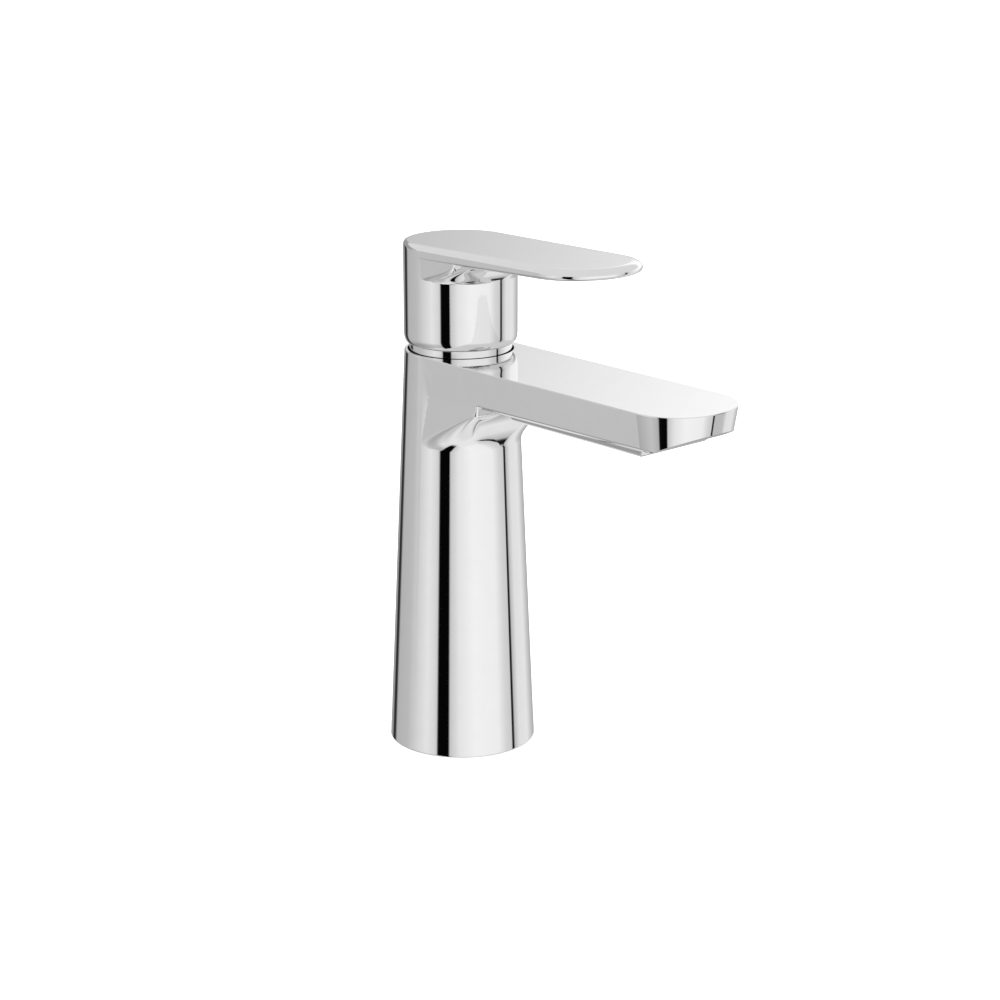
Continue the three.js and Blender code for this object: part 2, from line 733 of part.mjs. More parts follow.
// ---- Cartridge: heights from its seat ---------------------------------------------

const fromSeat = (z) => z - SEAT_Z;

function cartridgeBase() {
  let base = rod(CARTRIDGE_R, 0, CARTRIDGE_BASE_T, { sides: SIDES_LARGE });
  const top = CARTRIDGE_BASE_T + OVERSHOOT;
  for (const [x, y] of Object.values(portPlaces())) {
    const port = rod(PORT_R, -OVERSHOOT, top, { x, y, sides: SIDES_SMALL });
    const sealSeat = rod(PORT_R + PORT_SEAL_W + FIT_GAP, -OVERSHOOT, PORT_SEAL_T, { x, y });
    base = base.subtract(port).subtract(sealSeat);
  }
  return base;
}

function portSeal() {
  return ring(PORT_R + FIT_GAP, PORT_R + PORT_SEAL_W, 0, PORT_SEAL_T - FIT_GAP);
}

function fixedDisc() {
  const z0 = fromSeat(FIXED_DISC_Z);
  let disc = rod(HOUSING_BORE_R - FIT_GAP, z0, z0 + FIXED_DISC_T, { sides: SIDES_LARGE });
  const top = z0 + FIXED_DISC_T + OVERSHOOT;
  for (const [x, y] of Object.values(portPlaces())) {
    disc = disc.subtract(rod(PORT_R, z0 - OVERSHOOT, top, { x, y, sides: SIDES_SMALL }));
  }
  return disc;
}

function cartridgeHousing() {
  const z = fromSeat;
  return turned([
    [HOUSING_BORE_R, z(FIXED_DISC_Z)],
    [CARTRIDGE_R, z(FIXED_DISC_Z)],
    [CARTRIDGE_R, z(SHOULDER_Z)],
    [HOUSING_R, z(SHOULDER_Z)],
    [HOUSING_R, z(HOUSING_TOP)],
    [HOUSING_LIP_R, z(HOUSING_TOP)],
    [HOUSING_LIP_R, z(HOUSING_LIP_Z)],
    [HOUSING_BORE_R, z(HOUSING_LIP_Z)],
  ], SIDES_LARGE);
}

// Ring nut that clamps the cartridge by its shoulder, with four spanner slots.
function clampNut() {
  const z0 = fromSeat(SHOULDER_Z);
  let nut = ring(HOUSING_R + FIT_GAP, NUT_R, z0, z0 + NUT_H, SIDES_LARGE);
  const reach = NUT_R + OVERSHOOT;
  const slotZ = z0 + NUT_H - NUT_SLOT_DEPTH;
  const half = NUT_SLOT_W / 2;
  nut = nut.subtract(block([-reach, -half, slotZ], [reach, half, z0 + NUT_H + OVERSHOOT]));
  return nut.subtract(block([-half, -reach, slotZ], [half, reach, z0 + NUT_H + OVERSHOOT]));
}

// Ring on the housing whose raised arc stops the guide's lug at both ends of the swing.
function stopRing() {
  const z0 = fromSeat(HOUSING_TOP);
  const outerR = HOUSING_LIP_R + STOP_RING_W;
  const tabFrom = 90 - STOP_ARC / 2;
  const top = z0 + STOP_RING_T + STOP_TAB_H;
  const tab = sector(outerR, tabFrom, tabFrom + STOP_ARC, z0, top);
  const bore = rod(HOUSING_LIP_R, z0 - OVERSHOOT, top + OVERSHOOT, { sides: SIDES_LARGE });
  return rod(outerR, z0, z0 + STOP_RING_T, { sides: SIDES_LARGE }).add(tab).subtract(bore);
}

// Guide that turns in the housing and carries the lever's pivot pin.
function swivelGuide() {
  const z = fromSeat;
  const flangeR = HOUSING_BORE_R - RUN_GAP;
  const slotHalfX = STEM_HALF_T + RUN_GAP;
  const slotHalfY = STEM_EYE_R + STEM_EYE_PLAY;
  const lugZ = z(HOUSING_TOP) + STOP_RING_T + RUN_GAP;
  const lugR = HOUSING_LIP_R + STOP_RING_W;
  const guide = turned([
    [0, z(GUIDE_FLANGE_Z)],
    [flangeR, z(GUIDE_FLANGE_Z)],
    [flangeR, z(GUIDE_FLANGE_TOP)],
    [GUIDE_NECK_R, z(GUIDE_FLANGE_TOP)],
    [GUIDE_NECK_R, z(GUIDE_TOP)],
    [0, z(GUIDE_TOP)],
  ], SIDES_LARGE);
  const lug = block(
    [-STOP_LUG_W / 2, -lugR, lugZ],
    [STOP_LUG_W / 2, OVERSHOOT - GUIDE_NECK_R, lugZ + STOP_TAB_H - RUN_GAP]);
  const slot = block(
    [-slotHalfX, -slotHalfY, z(GUIDE_FLANGE_Z) - OVERSHOOT],
    [slotHalfX, slotHalfY, z(GUIDE_TOP) + OVERSHOOT]);
  const holeEnd = GUIDE_NECK_R + OVERSHOOT;
  const pinHole = bar(
    PIVOT_PIN_R + FIT_GAP, [-holeEnd, 0, z(PIVOT_Z)], [holeEnd, 0, z(PIVOT_Z)]);
  return guide.add(lug).subtract(slot).subtract(pinHole);
}

function pivotPin() {
  const half = GUIDE_NECK_R - PIVOT_PIN_INSET;
  return bar(PIVOT_PIN_R, [-half, 0, fromSeat(PIVOT_Z)], [half, 0, fromSeat(PIVOT_Z)]);
}

// Disc that opens and mixes, with a pocket below that joins the ports.
function movingDisc() {
  const z0 = fromSeat(MOVING_DISC_Z);
  const disc = rod(MOVING_DISC_R, z0, z0 + MOVING_DISC_T);
  return disc.subtract(rod(MIXING_POCKET_R, z0 - OVERSHOOT, z0 + MIXING_POCKET_T));
}

function discCarrier() {
  const z0 = fromSeat(CARRIER_Z);
  return rod(MOVING_DISC_R, z0, z0 + CARRIER_T).subtract(
    rod(CARRIER_SOCKET_R, z0 - OVERSHOOT, z0 + CARRIER_T + OVERSHOOT, { sides: SIDES_SMALL }));
}

function cartridgeGroup() {
  const group = new THREE.Group();
  group.position.z = SEAT_Z;
  const ports = portPlaces();
  const slideStart = [0, STEM_TIP_Y, 0];
  group.add(
    piece('cartridge_base', cartridgeBase(), 'greyPlastic'),
    piece('port_seal_hot', portSeal(), 'rubber', { at: [...ports.hot, 0] }),
    piece('port_seal_cold', portSeal(), 'rubber', { at: [...ports.cold, 0] }),
    piece('port_seal_outlet', portSeal(), 'rubber', { at: [...ports.outlet, 0] }),
    piece('fixed_disc', fixedDisc(), 'ceramic'),
    piece('cartridge_housing', cartridgeHousing(), 'whitePlastic'),
    piece('clamp_nut', clampNut(), 'brass'),
    piece('temperature_stop_ring', stopRing(), 'greyPlastic'),
    piece('swivel_guide', swivelGuide(), 'greyPlastic'),
    piece('pivot_pin', pivotPin(), 'steel'),
    piece('moving_disc', movingDisc(), 'ceramic', { at: slideStart }),
    piece('disc_carrier', discCarrier(), 'whitePlastic', { at: slideStart }),
  );
  return group;
}

// ---- Handle: heights from the pivot -------------------------------------------------

const fromPivot = (z) => z - PIVOT_Z;
const HANDLE_TOP = fromPivot(BODY_H + HANDLE_H);

function leverOutline(inset, drop) {
  const radius = CAP_R - inset;
  const centreY = LEVER_REACH - CAP_R;
  const half = [];
  for (let i = 0; i <= ARC_STEPS; i += 1) {
    const angle = (i / ARC_STEPS) * Math.PI / 2;
    half.push([radius * Math.cos(angle), -centreY - radius * Math.sin(angle)]);
  }
  const otherHalf = half.slice(0, -1).map(([x, y]) => [-x, y]).reverse();
  const outline = [[radius, 0], ...half, ...otherHalf, [-radius, 0]];
  return outline.map(([x, y]) => [x, y, leverTopZ(y) - drop(y)]);
}

// The top face rises gently towards the tip.
function leverTopZ(y) {
  return HANDLE_TOP - y * Math.tan(LEVER_RISE * RAD);
}

function leverThickness(y) {
  return THREE.MathUtils.lerp(LEVER_ROOT_T, LEVER_TIP_T, -y / LEVER_REACH);
}

function leverSolid() {
  return loft([
    leverOutline(LEVER_EDGE_INSET, (y) => leverThickness(y) + LEVER_EDGE_DROP),
    leverOutline(0, leverThickness),
    leverOutline(0, () => 0),
  ]);
}

// Cap, chamfer and neck as one turned shape, topped off along the lever's rising face.
function capSolid() {
  const neckBottom = fromPivot(BODY_H - NECK_DIP);
  const chamferZ = fromPivot(BODY_H + NECK_SHOW);
  const rise = CAP_R * Math.tan(LEVER_RISE * RAD);
  const cap = turned([
    [0, neckBottom],
    [NECK_R, neckBottom],
    [NECK_R, chamferZ],
    [CAP_R, chamferZ + CAP_CHAMFER],
    [CAP_R, HANDLE_TOP + rise + OVERSHOOT],
    [0, HANDLE_TOP + rise + OVERSHOOT],
  ], SIDES_LARGE);
  const w = CAP_R + OVERSHOOT;
  const square = [[-w, -w], [w, -w], [w, w], [-w, w]];
  const above = loft([
    square.map(([x, y]) => [x, y, leverTopZ(y)]),
    square.map(([x, y]) => [x, y, HANDLE_TOP + rise + 2 * OVERSHOOT]),
  ]);
  return cap.subtract(above);
}

function leverRoot() {
  const underside = leverTopZ(-CAP_R) - leverThickness(-CAP_R) - LEVER_EDGE_DROP;
  return flare({
    wallR: CAP_R - FLARE_SINK,
    slabHalfW: CAP_R - LEVER_EDGE_INSET,
    radius: LEVER_FILLET_R,
    z: underside,
    overlap: EDGE_CHAMFER,
  });
}

// Room inside for the cartridge head, with a boss that holds the stem's adapter.
function handleHollow() {
  const innerR = NECK_R - HANDLE_WALL;
  const roof = HANDLE_TOP - HANDLE_ROOF;
  const neckBottom = fromPivot(BODY_H - NECK_DIP);
  const room = turned([
    [0, neckBottom - OVERSHOOT],
    [innerR, neckBottom - OVERSHOOT],
    [innerR, roof],
    [0, roof],
  ], SIDES_LARGE);
  return room.subtract(rod(SOCKET_BOSS_R, SOCKET_BOSS_ABOVE_PIVOT, roof + OVERSHOOT));
}

function handleCasting() {
  const half = ADAPTER_SQUARE / 2 + FIT_GAP;
  const adapterTop = SOCKET_BOSS_ABOVE_PIVOT + ADAPTER_H + FIT_GAP;
  const socket = block([-half, -half, SOCKET_BOSS_ABOVE_PIVOT - OVERSHOOT], [half, half, adapterTop]);
  const along = (y) => [0, y, GRUB_ABOVE_PIVOT];
  const grubHole = bar(GRUB_R + FIT_GAP, along(0), along(SOCKET_BOSS_R + OVERSHOOT));
  const plugHole = bar(
    PLUG_R + FIT_GAP,
    along(SOCKET_BOSS_R + PLUG_SEAT_GAP),
    along(CAP_R + OVERSHOOT),
    SIDES_MIDDLE);
  return capSolid()
    .add(leverSolid())
    .add(leverRoot())
    .subtract(handleHollow())
    .subtract(socket)
    .subtract(grubHole)
    .subtract(plugHole);
}

function stemAdapter() {
  const half = ADAPTER_SQUARE / 2;
  const bore = STEM_SQUARE / 2 + FIT_GAP;
  const top = SOCKET_BOSS_ABOVE_PIVOT + ADAPTER_H;
  const screwHole = bar(
    GRUB_R + FIT_GAP, [0, 0, GRUB_ABOVE_PIVOT], [0, half + OVERSHOOT, GRUB_ABOVE_PIVOT]);
  const squareHole = block(
    [-bore, -bore, SOCKET_BOSS_ABOVE_PIVOT - OVERSHOOT], [bore, bore, top + OVERSHOOT]);
  return block([-half, -half, SOCKET_BOSS_ABOVE_PIVOT], [half, half, top])
    .subtract(squareHole)
    .subtract(screwHole);
}

// Stem: a square shank, a flat eye on the pivot pin, and an arm down to the disc carrier.
function leverStem() {
  const halfSquare = STEM_SQUARE / 2;
  const neckZ = STEM_EYE_R + STEM_NECK;
  const shank = block([-halfSquare, -halfSquare, neckZ], [halfSquare, halfSquare, STEM_TOP]);
  const flat = block(
    [-STEM_HALF_T, -halfSquare, 0], [STEM_HALF_T, halfSquare, neckZ + OVERSHOOT]);
  const eye = bar(STEM_EYE_R, [-STEM_HALF_T, 0, 0], [STEM_HALF_T, 0, 0], SIDES_MIDDLE);
  const arm = bar(STEM_ARM_R, [0, 0, 0], [0, STEM_TIP_Y, -STEM_ARM]);
  const holeEnd = STEM_HALF_T + OVERSHOOT;
  const pinHole = bar(PIVOT_PIN_R + RUN_GAP, [-holeEnd, 0, 0], [holeEnd, 0, 0]);
  return shank.add(flat).add(eye).add(arm).subtract(pinHole);
}

function grubScrew() {
  const start = STEM_SQUARE / 2 + FIT_GAP / 2;
  const end = start + GRUB_L;
  const hexR = GRUB_HEX_AF / 2 / Math.cos(30 * RAD);
  return bar(GRUB_R, [0, start, GRUB_ABOVE_PIVOT], [0, end, GRUB_ABOVE_PIVOT]).subtract(
    bar(hexR, [0, end - GRUB_HEX_DEPTH, GRUB_ABOVE_PIVOT], [0, end + OVERSHOOT, GRUB_ABOVE_PIVOT], 6));
}

function indexPlug() {
  const end = CAP_R + PLUG_HEAD;
  return bar(
    PLUG_R, [0, end - PLUG_L, GRUB_ABOVE_PIVOT], [0, end, GRUB_ABOVE_PIVOT], SIDES_MIDDLE);
}

function handleGroup() {
  const group = new THREE.Group();
  group.position.z = PIVOT_Z;
  group.add(
    piece('handle_casting', handleCasting(), 'chrome'),
    piece('lever_stem', leverStem(), 'brass'),
    piece('stem_adapter', stemAdapter(), 'whitePlastic'),
    piece('grub_screw', grubScrew(), 'steel'),
    piece('index_plug', indexPlug(), 'indexPlastic'),
  );
  return group;
}

// ---- Assembly ------------------------------------------------------------------------

const mixer = new THREE.Group();
mixer.add(bodyGroup(), aeratorGroup(), fixingGroup(), cartridgeGroup(), handleGroup());

export default mixer;
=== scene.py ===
# Single-lever basin mixer in polished chrome plate. Metres, +Z up, the spout points to -Y.
import math

import bpy
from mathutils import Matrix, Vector


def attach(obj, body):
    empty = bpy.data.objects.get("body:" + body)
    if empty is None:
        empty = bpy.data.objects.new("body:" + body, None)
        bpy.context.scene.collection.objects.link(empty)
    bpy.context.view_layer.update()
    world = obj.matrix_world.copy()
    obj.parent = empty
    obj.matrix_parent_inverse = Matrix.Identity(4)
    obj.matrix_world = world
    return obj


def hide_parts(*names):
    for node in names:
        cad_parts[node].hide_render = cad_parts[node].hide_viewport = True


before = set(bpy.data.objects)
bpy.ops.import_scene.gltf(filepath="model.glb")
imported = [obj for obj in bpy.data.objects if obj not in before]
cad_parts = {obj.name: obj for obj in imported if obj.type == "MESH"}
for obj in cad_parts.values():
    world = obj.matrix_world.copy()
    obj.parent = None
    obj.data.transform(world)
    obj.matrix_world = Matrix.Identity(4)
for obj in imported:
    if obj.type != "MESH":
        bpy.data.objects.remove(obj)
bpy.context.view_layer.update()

MM = 0.001

# ---- Sizes in millimetres, the same as the frame's -------------------------------------------

PAST = 1.0          # how far a cutting tool reaches past the face it cuts
FLARE_SINK = 0.1    # how far a flare starts inside the wall it leaves

BODY_H = 153.0
BASE_R = 27.75
COLUMN_TOP_R = 21.1
COLUMN_EDGE_R = 0.5
BASE_EDGE_R = 0.4
COLUMN_WALL = 3.6
BASE_LIP_R = 21.0
BASE_LIP_H = 5.0
BASE_LIP_SLOPE = 2.0
GROOVE_R = (22.2, 25.2)
GROOVE_H = 1.6
CORE_Z = 108.0
STUD_Y = 13.0
STUD_BORE_R = 4.2
STUD_BOSS_R = 6.6
STUD_BOSS_Z = 8.0
STUD_BORE_TOP = 28.0
INLET_Y = 0.5
INLET_X = 8.0
INLET_R = 4.7
INLET_TOP = 122.0

SPOUT_HALF_W = 21.0
SPOUT_REACH = 132.0
TIP_CORNER_R = 19.0
TIP_DRAFT = 2.0
TIP_UNDERCUT = 15.4
TIP_CUT_ANGLE = 24.0
DRAFT_START = 34.0
SPOUT_FACE_Z = 139.1
SPOUT_BEVEL = 1.1
SPOUT_ROUND = (0.7, 0.85, 1.0, 1.15, 1.3)    # heights of its rounded end, in bevels
SPOUT_ROUND_INSET = 0.3
SPOUT_ROUND_SPAN = 0.6
SPOUT_EDGE_R = 0.35
ROOT_FILLET_R = 21.5
FLARE_SQUARING = 8.0    # how fast a flare's round outline turns square as it rises
FLARE_STEEPEST = 3.0
CHANNEL_HALF_W = 14.8
CHANNEL_START = 26.0
CHANNEL_OPEN = 48.3
CHANNEL_Z = 140.2
CHANNEL_TOP = 149.5

SEAT_Z = 137.0
SHOULDER_Z = 141.4
CARTRIDGE_BORE_R = 14.5
NUT_BORE_R = 15.0
WELL_R = 19.9
WELL_Z = 146.6

PLATE_HALF_W = 17.1
PLATE_Z = 136.4
PLATE_START = 46.0
PLATE_FRONT = 112.6
PLATE_CORNER_R = 0.8
PLATE_EDGE = [(0.0, 1.2), (0.8, 0.5)]    # rise above the underside, and inset there
PLATE_TOP_EDGE = (0.8, 0.1)
PLATE_FRONT_SLOPE = 1.4
AERATOR_Y = 97.0
AERATOR_R = 11.8
AERATOR_BOSS_R = 14.2
AERATOR_Z = 135.8
AERATOR_TOP = 144.0
AERATOR_WALL = 1.8
AERATOR_GAP = 0.3
AERATOR_LIP_R = 0.6
AERATOR_LIP_MID = 0.18
AERATOR_STEP = 0.3
AERATOR_STEP_TOP = 1.9
AERATOR_STEP_FOOT = 1.6
KEY_SLOT_HALF_W = 1.2
KEY_SLOT_DEPTH = 0.7
SEAL_SEAT = 2.5
BOSS_TOP = 147.0
SEAL_TOP = 145.8

CAP_R = 21.2
CAP_CHAMFER = 3.0
CAP_CHAMFER_STRETCH = 1.25
CAP_CHAMFER_FULLNESS = 0.8
CHAMFER_Z = 155.7
NECK_R = 19.2
NECK_Z = 152.5
HANDLE_TOP = 194.1
HANDLE_WALL = 1.2
HANDLE_ROOF_Z = 185.1
LEVER_REACH = 86.0
LEVER_RISE = 1.1
LEVER_ROOT_T = 4.3
LEVER_TIP_T = 2.4
LEVER_EDGE_DROP = 1.3
LEVER_EDGE_INSET = 2.4
LEVER_TOP_ROUND = 4.5
CAP_TOP_ROUND = 1.0
LEVER_SIDE_H = 0.3
LEVER_FILLET_R = 9.0
LEVER_ROOT_OVERLAP = 1.1
LEVER_ROOT_INSET = 0.05
LEVER_ROOT_SHORT = 1.0    # how far inside the cap the root's flush sides end
CAP_INTO_LEVER = 1.0
SOCKET_BOSS_R = 8.8
SOCKET_Z = 170.9
SOCKET_TOP = 180.2
SOCKET_HALF = 5.0
SCREW_Z = 176.0
SCREW_BORE_R = 2.7
PLUG_R = 3.2
PLUG_BORE_R = 3.5
PLUG_BORE_START = 10.8
PLUG_START = 17.3
PLUG_DOME = 0.5
PLUG_DOME_SKIRT = 1.6
PLUG_ROUNDNESS = 0.6
PLUG_CHAMFER = 0.3

SCREEN_R = 9.7
SCREEN_Z = (136.6, 137.4)
SCREEN_HOLE_R = 1.7
SCREEN_RING_R = 5.8
SCREEN_JETS = 6
SCREEN_EDGE = 0.12
STUD_R = 3.9
STUD_CORE_R = 3.4
STUD_Z = (-58.0, 27.7)
THREAD_PITCH = 1.25
THREAD_CREST = [(0.5, 0.04), (0.62, 0.0), (0.74, 0.04)]    # rise, and depth below the crest
STUD_CHAMFER = 0.4
STUD_END = 0.8
HORSESHOE_R = 24.0
HORSESHOE_SLOT_R = 7.0
HORSESHOE_EDGE = 0.35
HORSESHOE_GASKET_EDGE = 0.5
HORSESHOE_GASKET_Z = (-33.0, -30.0)
HORSESHOE_Z = (-35.5, -33.0)
NUT_Z = (-42.0, -35.5)
NUT_CORNER_R = 7.5
NUT_TURNED_SLOPE = 30.0
NUT_TURNED_MARGIN = 0.1
NUT_SINK = 1.5
NUT_SINK_DEPTH = 0.5


# ---- Mesh helpers ------------------------------------------------------------------------------

WELD = 1e-7           # metres within which two points are one
FLAT_WEIGHT = 80      # how strongly the large faces lead the shading

def deselect():
    bpy.ops.object.select_all(action="DESELECT")


def activate(obj):
    deselect()
    obj.select_set(True)
    bpy.context.view_layer.objects.active = obj


def named(name):
    obj = bpy.context.active_object
    obj.name = name
    obj.data.name = name
    return obj


def cylinder(name, radius, z0, z1, x=0.0, y=0.0, vertices=128):
    deselect()
    bpy.ops.mesh.primitive_cylinder_add(
        vertices=vertices, radius=radius * MM, depth=(z1 - z0) * MM,
        location=(x * MM, y * MM, (z0 + z1) / 2 * MM))
    return settle(named(name))


def box(name, low, high):
    deselect()
    bpy.ops.mesh.primitive_cube_add(
        size=1, location=[(a + b) / 2 * MM for a, b in zip(low, high)],
        scale=[(b - a) * MM for a, b in zip(low, high)])
    return settle(named(name))


def settle(obj):
    """Puts the object's place into its mesh, so that the object itself is at the origin."""
    activate(obj)
    bpy.ops.object.transform_apply(location=True, rotation=True, scale=True)
    return obj


def cut(obj, *tools, operation="DIFFERENCE"):
    """Cuts each tool out of the object, and removes the tool."""
    for tool in tools:
        activate(obj)
        modifier = obj.modifiers.new("cut", "BOOLEAN")
        modifier.operation = operation
        modifier.solver = "EXACT"
        modifier.object = tool
        bpy.ops.object.modifier_apply(modifier=modifier.name)
        bpy.data.objects.remove(tool)
    return obj


def join(obj, *tools):
    return cut(obj, *tools, operation="UNION")


def bevel(obj, width, segments=3, angle=35.0):
    activate(obj)
    modifier = obj.modifiers.new("bevel", "BEVEL")
    modifier.width = width * MM
    modifier.segments = segments
    modifier.limit_method = "ANGLE"
    modifier.angle_limit = math.radians(angle)
    bpy.ops.object.modifier_apply(modifier=modifier.name)
    return obj


def smooth(obj, angle=20.0):
    """Smooth shading up to an angle, led by the large faces so that they stay flat."""
    activate(obj)
    bpy.ops.object.shade_smooth_by_angle(angle=math.radians(angle))
    modifier = obj.modifiers.new("weighted", "WEIGHTED_NORMAL")
    modifier.weight = FLAT_WEIGHT
    modifier.keep_sharp = True
    bpy.ops.object.modifier_apply(modifier=modifier.name)
    return obj


def loft(name, rings):
    """A closed skin through rings of millimetre points, each with the same count."""
    mesh = bpy.data.meshes.new(name)
    count = len(rings[0])
    points = [Vector(p) * MM for ring in rings for p in ring]
    faces = [[level * count + i, level * count + (i + 1) % count,
              (level + 1) * count + (i + 1) % count, (level + 1) * count + i]
             for level in range(len(rings) - 1) for i in range(count)]
    faces.append(list(range(count))[::-1])
    faces.append([(len(rings) - 1) * count + i for i in range(count)])
    mesh.from_pydata(points, [], faces)
    obj = bpy.data.objects.new(name, mesh)
    bpy.context.scene.collection.objects.link(obj)
    activate(obj)
    bpy.ops.object.mode_set(mode="EDIT")
    bpy.ops.mesh.select_all(action="SELECT")
    bpy.ops.mesh.remove_doubles(threshold=WELD)
    bpy.ops.mesh.normals_make_consistent(inside=False)
    bpy.ops.object.mode_set(mode="OBJECT")
    return obj


def turned(name, section, steps=256):
    """A section of radius and height points, spun about the Z axis."""
    mesh = bpy.data.meshes.new(name)
    mesh.from_pydata([Vector((r, 0, z)) * MM for r, z in section],
                     [(i, i + 1) for i in range(len(section) - 1)], [])
    obj = bpy.data.objects.new(name, mesh)
    bpy.context.scene.collection.objects.link(obj)
    activate(obj)
    bpy.ops.object.mode_set(mode="EDIT")
    bpy.ops.mesh.select_all(action="SELECT")
    bpy.ops.mesh.spin(steps=steps, angle=2 * math.pi, center=(0, 0, 0), axis=(0, 0, 1))
    bpy.ops.mesh.select_all(action="SELECT")
    bpy.ops.mesh.remove_doubles(threshold=WELD)
    bpy.ops.mesh.normals_make_consistent(inside=False)
    bpy.ops.object.mode_set(mode="OBJECT")
    return obj


def lerp(a, b, t):
    return a + (b - a) * t


# ---- Column and spout --------------------------------------------------------------------------

def column_radius(z):
    return lerp(BASE_R, COLUMN_TOP_R, z / BODY_H)


def rounding(radius, z, edge, up=1, steps=8):
    """Section points of a small rounded edge between a wall and a flat at height z."""
    turns = [i / steps * math.pi / 2 for i in range(steps + 1)]
    return [(radius - edge * (1 - math.cos(t)), z - up * edge * (1 - math.sin(t)))
            for t in turns]


def column():
    base = rounding(BASE_R, 0, BASE_EDGE_R, up=-1)[::-1]
    top = rounding(COLUMN_TOP_R, BODY_H, COLUMN_EDGE_R)
    return turned("body", [(0, 0), *base, *top, (0, BODY_H)])


def spout_outline(z, side_inset, tip_inset, steps=48):
    """Ring of the spout at height z: straight sides and a front with round corners."""
    side_x = SPOUT_HALF_W - side_inset
    corner_x = SPOUT_HALF_W - TIP_CORNER_R
    corner_y = SPOUT_REACH - TIP_CORNER_R
    radius = TIP_CORNER_R - tip_inset
    half = [(side_x, 0, z), (side_x, -DRAFT_START, z)]
    for i in range(steps + 1):
        angle = i / steps * math.pi / 2
        half.append((corner_x + radius * math.cos(angle),
                     -corner_y - radius * math.sin(angle), z))
    return half + [(-x, y, z) for x, y, z in reversed(half)]


def tip_cut():
    """Wedge below the face that rises from the spout's underside to its tip."""
    rise = math.tan(math.radians(TIP_CUT_ANGLE))
    start = SPOUT_REACH - TIP_UNDERCUT
    far = SPOUT_REACH + 2 * PAST
    w = SPOUT_HALF_W + PAST
    rings = []
    for y in (start - 2 * PAST, SPOUT_REACH + PAST):
        z = SPOUT_FACE_Z + (y - start) * rise
        rings.append([(-w, -far, z), (w, -far, z), (w, -y, z), (-w, -y, z)])
    return loft("tip_cut", rings)


def flare_outline(half_w, reach, corner, z, sides=24):
    """Front half of a rectangle with round corners, as points at height z."""
    half = [(half_w, -(reach - corner) * i / sides, z) for i in range(sides)]
    for i in range(sides + 1):
        angle = i / sides * math.pi / 2
        half.append((half_w - corner * (1 - math.cos(angle)),
                     corner * (1 - math.sin(angle)) - reach, z))
    return half + [(-x, y, z) for x, y, z in reversed(half)]


def flare(name, wall_r, slab_half_w, radius, z, overlap, furthest=math.inf, steps=40):
    """Fillet that flares from a round wall out to a flat underside at height z. Its outline
    has the corner radius that crosses the diagonal where a superellipse would: one with the
    exponent of a circle, 2, at the wall, and a higher one as the flare rises."""
    rings = []
    for i in range(steps + 1):
        angle = i / steps * math.pi / 2
        rise = radius * math.sin(angle)
        squareness = 2 + FLARE_SQUARING * min(math.tan(angle), FLARE_STEEPEST) ** 2
        half_w = lerp(wall_r, slab_half_w, rise / radius)
        corner = half_w * (1 - 0.5 ** (1 / squareness)) / (1 - math.sqrt(0.5))
        reach = min(wall_r + radius * (1 - math.cos(angle)), furthest)
        rings.append(flare_outline(half_w, reach, min(corner, reach), z - radius + rise))
    rings.append([(x, y, z + overlap) for x, y, _ in rings[-1]])
    return loft(name, rings)


def spout():
    """Slab with a rounded bevel below, drafted sides at its tip and a crisp top edge."""
    rings = [spout_outline(SPOUT_FACE_Z, SPOUT_BEVEL, TIP_DRAFT + SPOUT_BEVEL)]
    for share in SPOUT_ROUND:
        inset = SPOUT_BEVEL * SPOUT_ROUND_INSET * (
            (SPOUT_ROUND[-1] - share) / SPOUT_ROUND_SPAN) ** 2
        rings.append(spout_outline(SPOUT_FACE_Z + SPOUT_BEVEL * share, inset,
                                   TIP_DRAFT + inset))
    height = BODY_H - SPOUT_FACE_Z - SPOUT_BEVEL
    for radius, z in rounding(0, BODY_H, SPOUT_EDGE_R):
        rings.append(spout_outline(z, -radius, -radius + TIP_DRAFT * (BODY_H - z) / height))
    return cut(loft("spout", rings), tip_cut())


def spout_root():
    """Flush with the spout's sides near the column, and with its underside further out."""
    wall_r = column_radius(SPOUT_FACE_Z - ROOT_FILLET_R) - FLARE_SINK
    side_reach = column_radius(SPOUT_FACE_Z) + ROOT_FILLET_R / 2
    sides = flare("root", wall_r, SPOUT_HALF_W, ROOT_FILLET_R, SPOUT_FACE_Z,
                  SPOUT_BEVEL * SPOUT_ROUND[-1], side_reach)
    under = flare("root_under", wall_r, SPOUT_HALF_W - SPOUT_BEVEL, ROOT_FILLET_R,
                  SPOUT_FACE_Z, SPOUT_BEVEL / 2)
    return sides, under


def column_hollow():
    widest = BASE_LIP_H + BASE_LIP_SLOPE
    hollow = turned("hollow", [
        (0, -PAST), (BASE_LIP_R, -PAST), (BASE_LIP_R, BASE_LIP_H),
        (column_radius(widest) - COLUMN_WALL, widest),
        (column_radius(CORE_Z) - COLUMN_WALL, CORE_Z), (0, CORE_Z)], steps=96)
    boss = cylinder("stud_boss", STUD_BOSS_R, STUD_BOSS_Z, CORE_Z + PAST, y=STUD_Y,
                    vertices=64)
    return cut(hollow, boss)


def cartridge_chamber():
    return turned("chamber", [
        (0, SEAT_Z), (CARTRIDGE_BORE_R, SEAT_Z), (CARTRIDGE_BORE_R, SHOULDER_Z),
        (NUT_BORE_R, SHOULDER_Z), (NUT_BORE_R, WELL_Z), (WELL_R, WELL_Z),
        (WELL_R, BODY_H + PAST), (0, BODY_H + PAST)])


def spout_channel():
    rear = box("channel", (-CHANNEL_HALF_W, -CHANNEL_OPEN, CHANNEL_Z),
               (CHANNEL_HALF_W, -CHANNEL_START, CHANNEL_TOP))
    front = box("channel_front", (-CHANNEL_HALF_W, -AERATOR_Y, PLATE_Z),
                (CHANNEL_HALF_W, -CHANNEL_OPEN, CHANNEL_TOP))
    end = cylinder("channel_end", CHANNEL_HALF_W, PLATE_Z, CHANNEL_TOP, y=-AERATOR_Y)
    return join(rear, front, end)


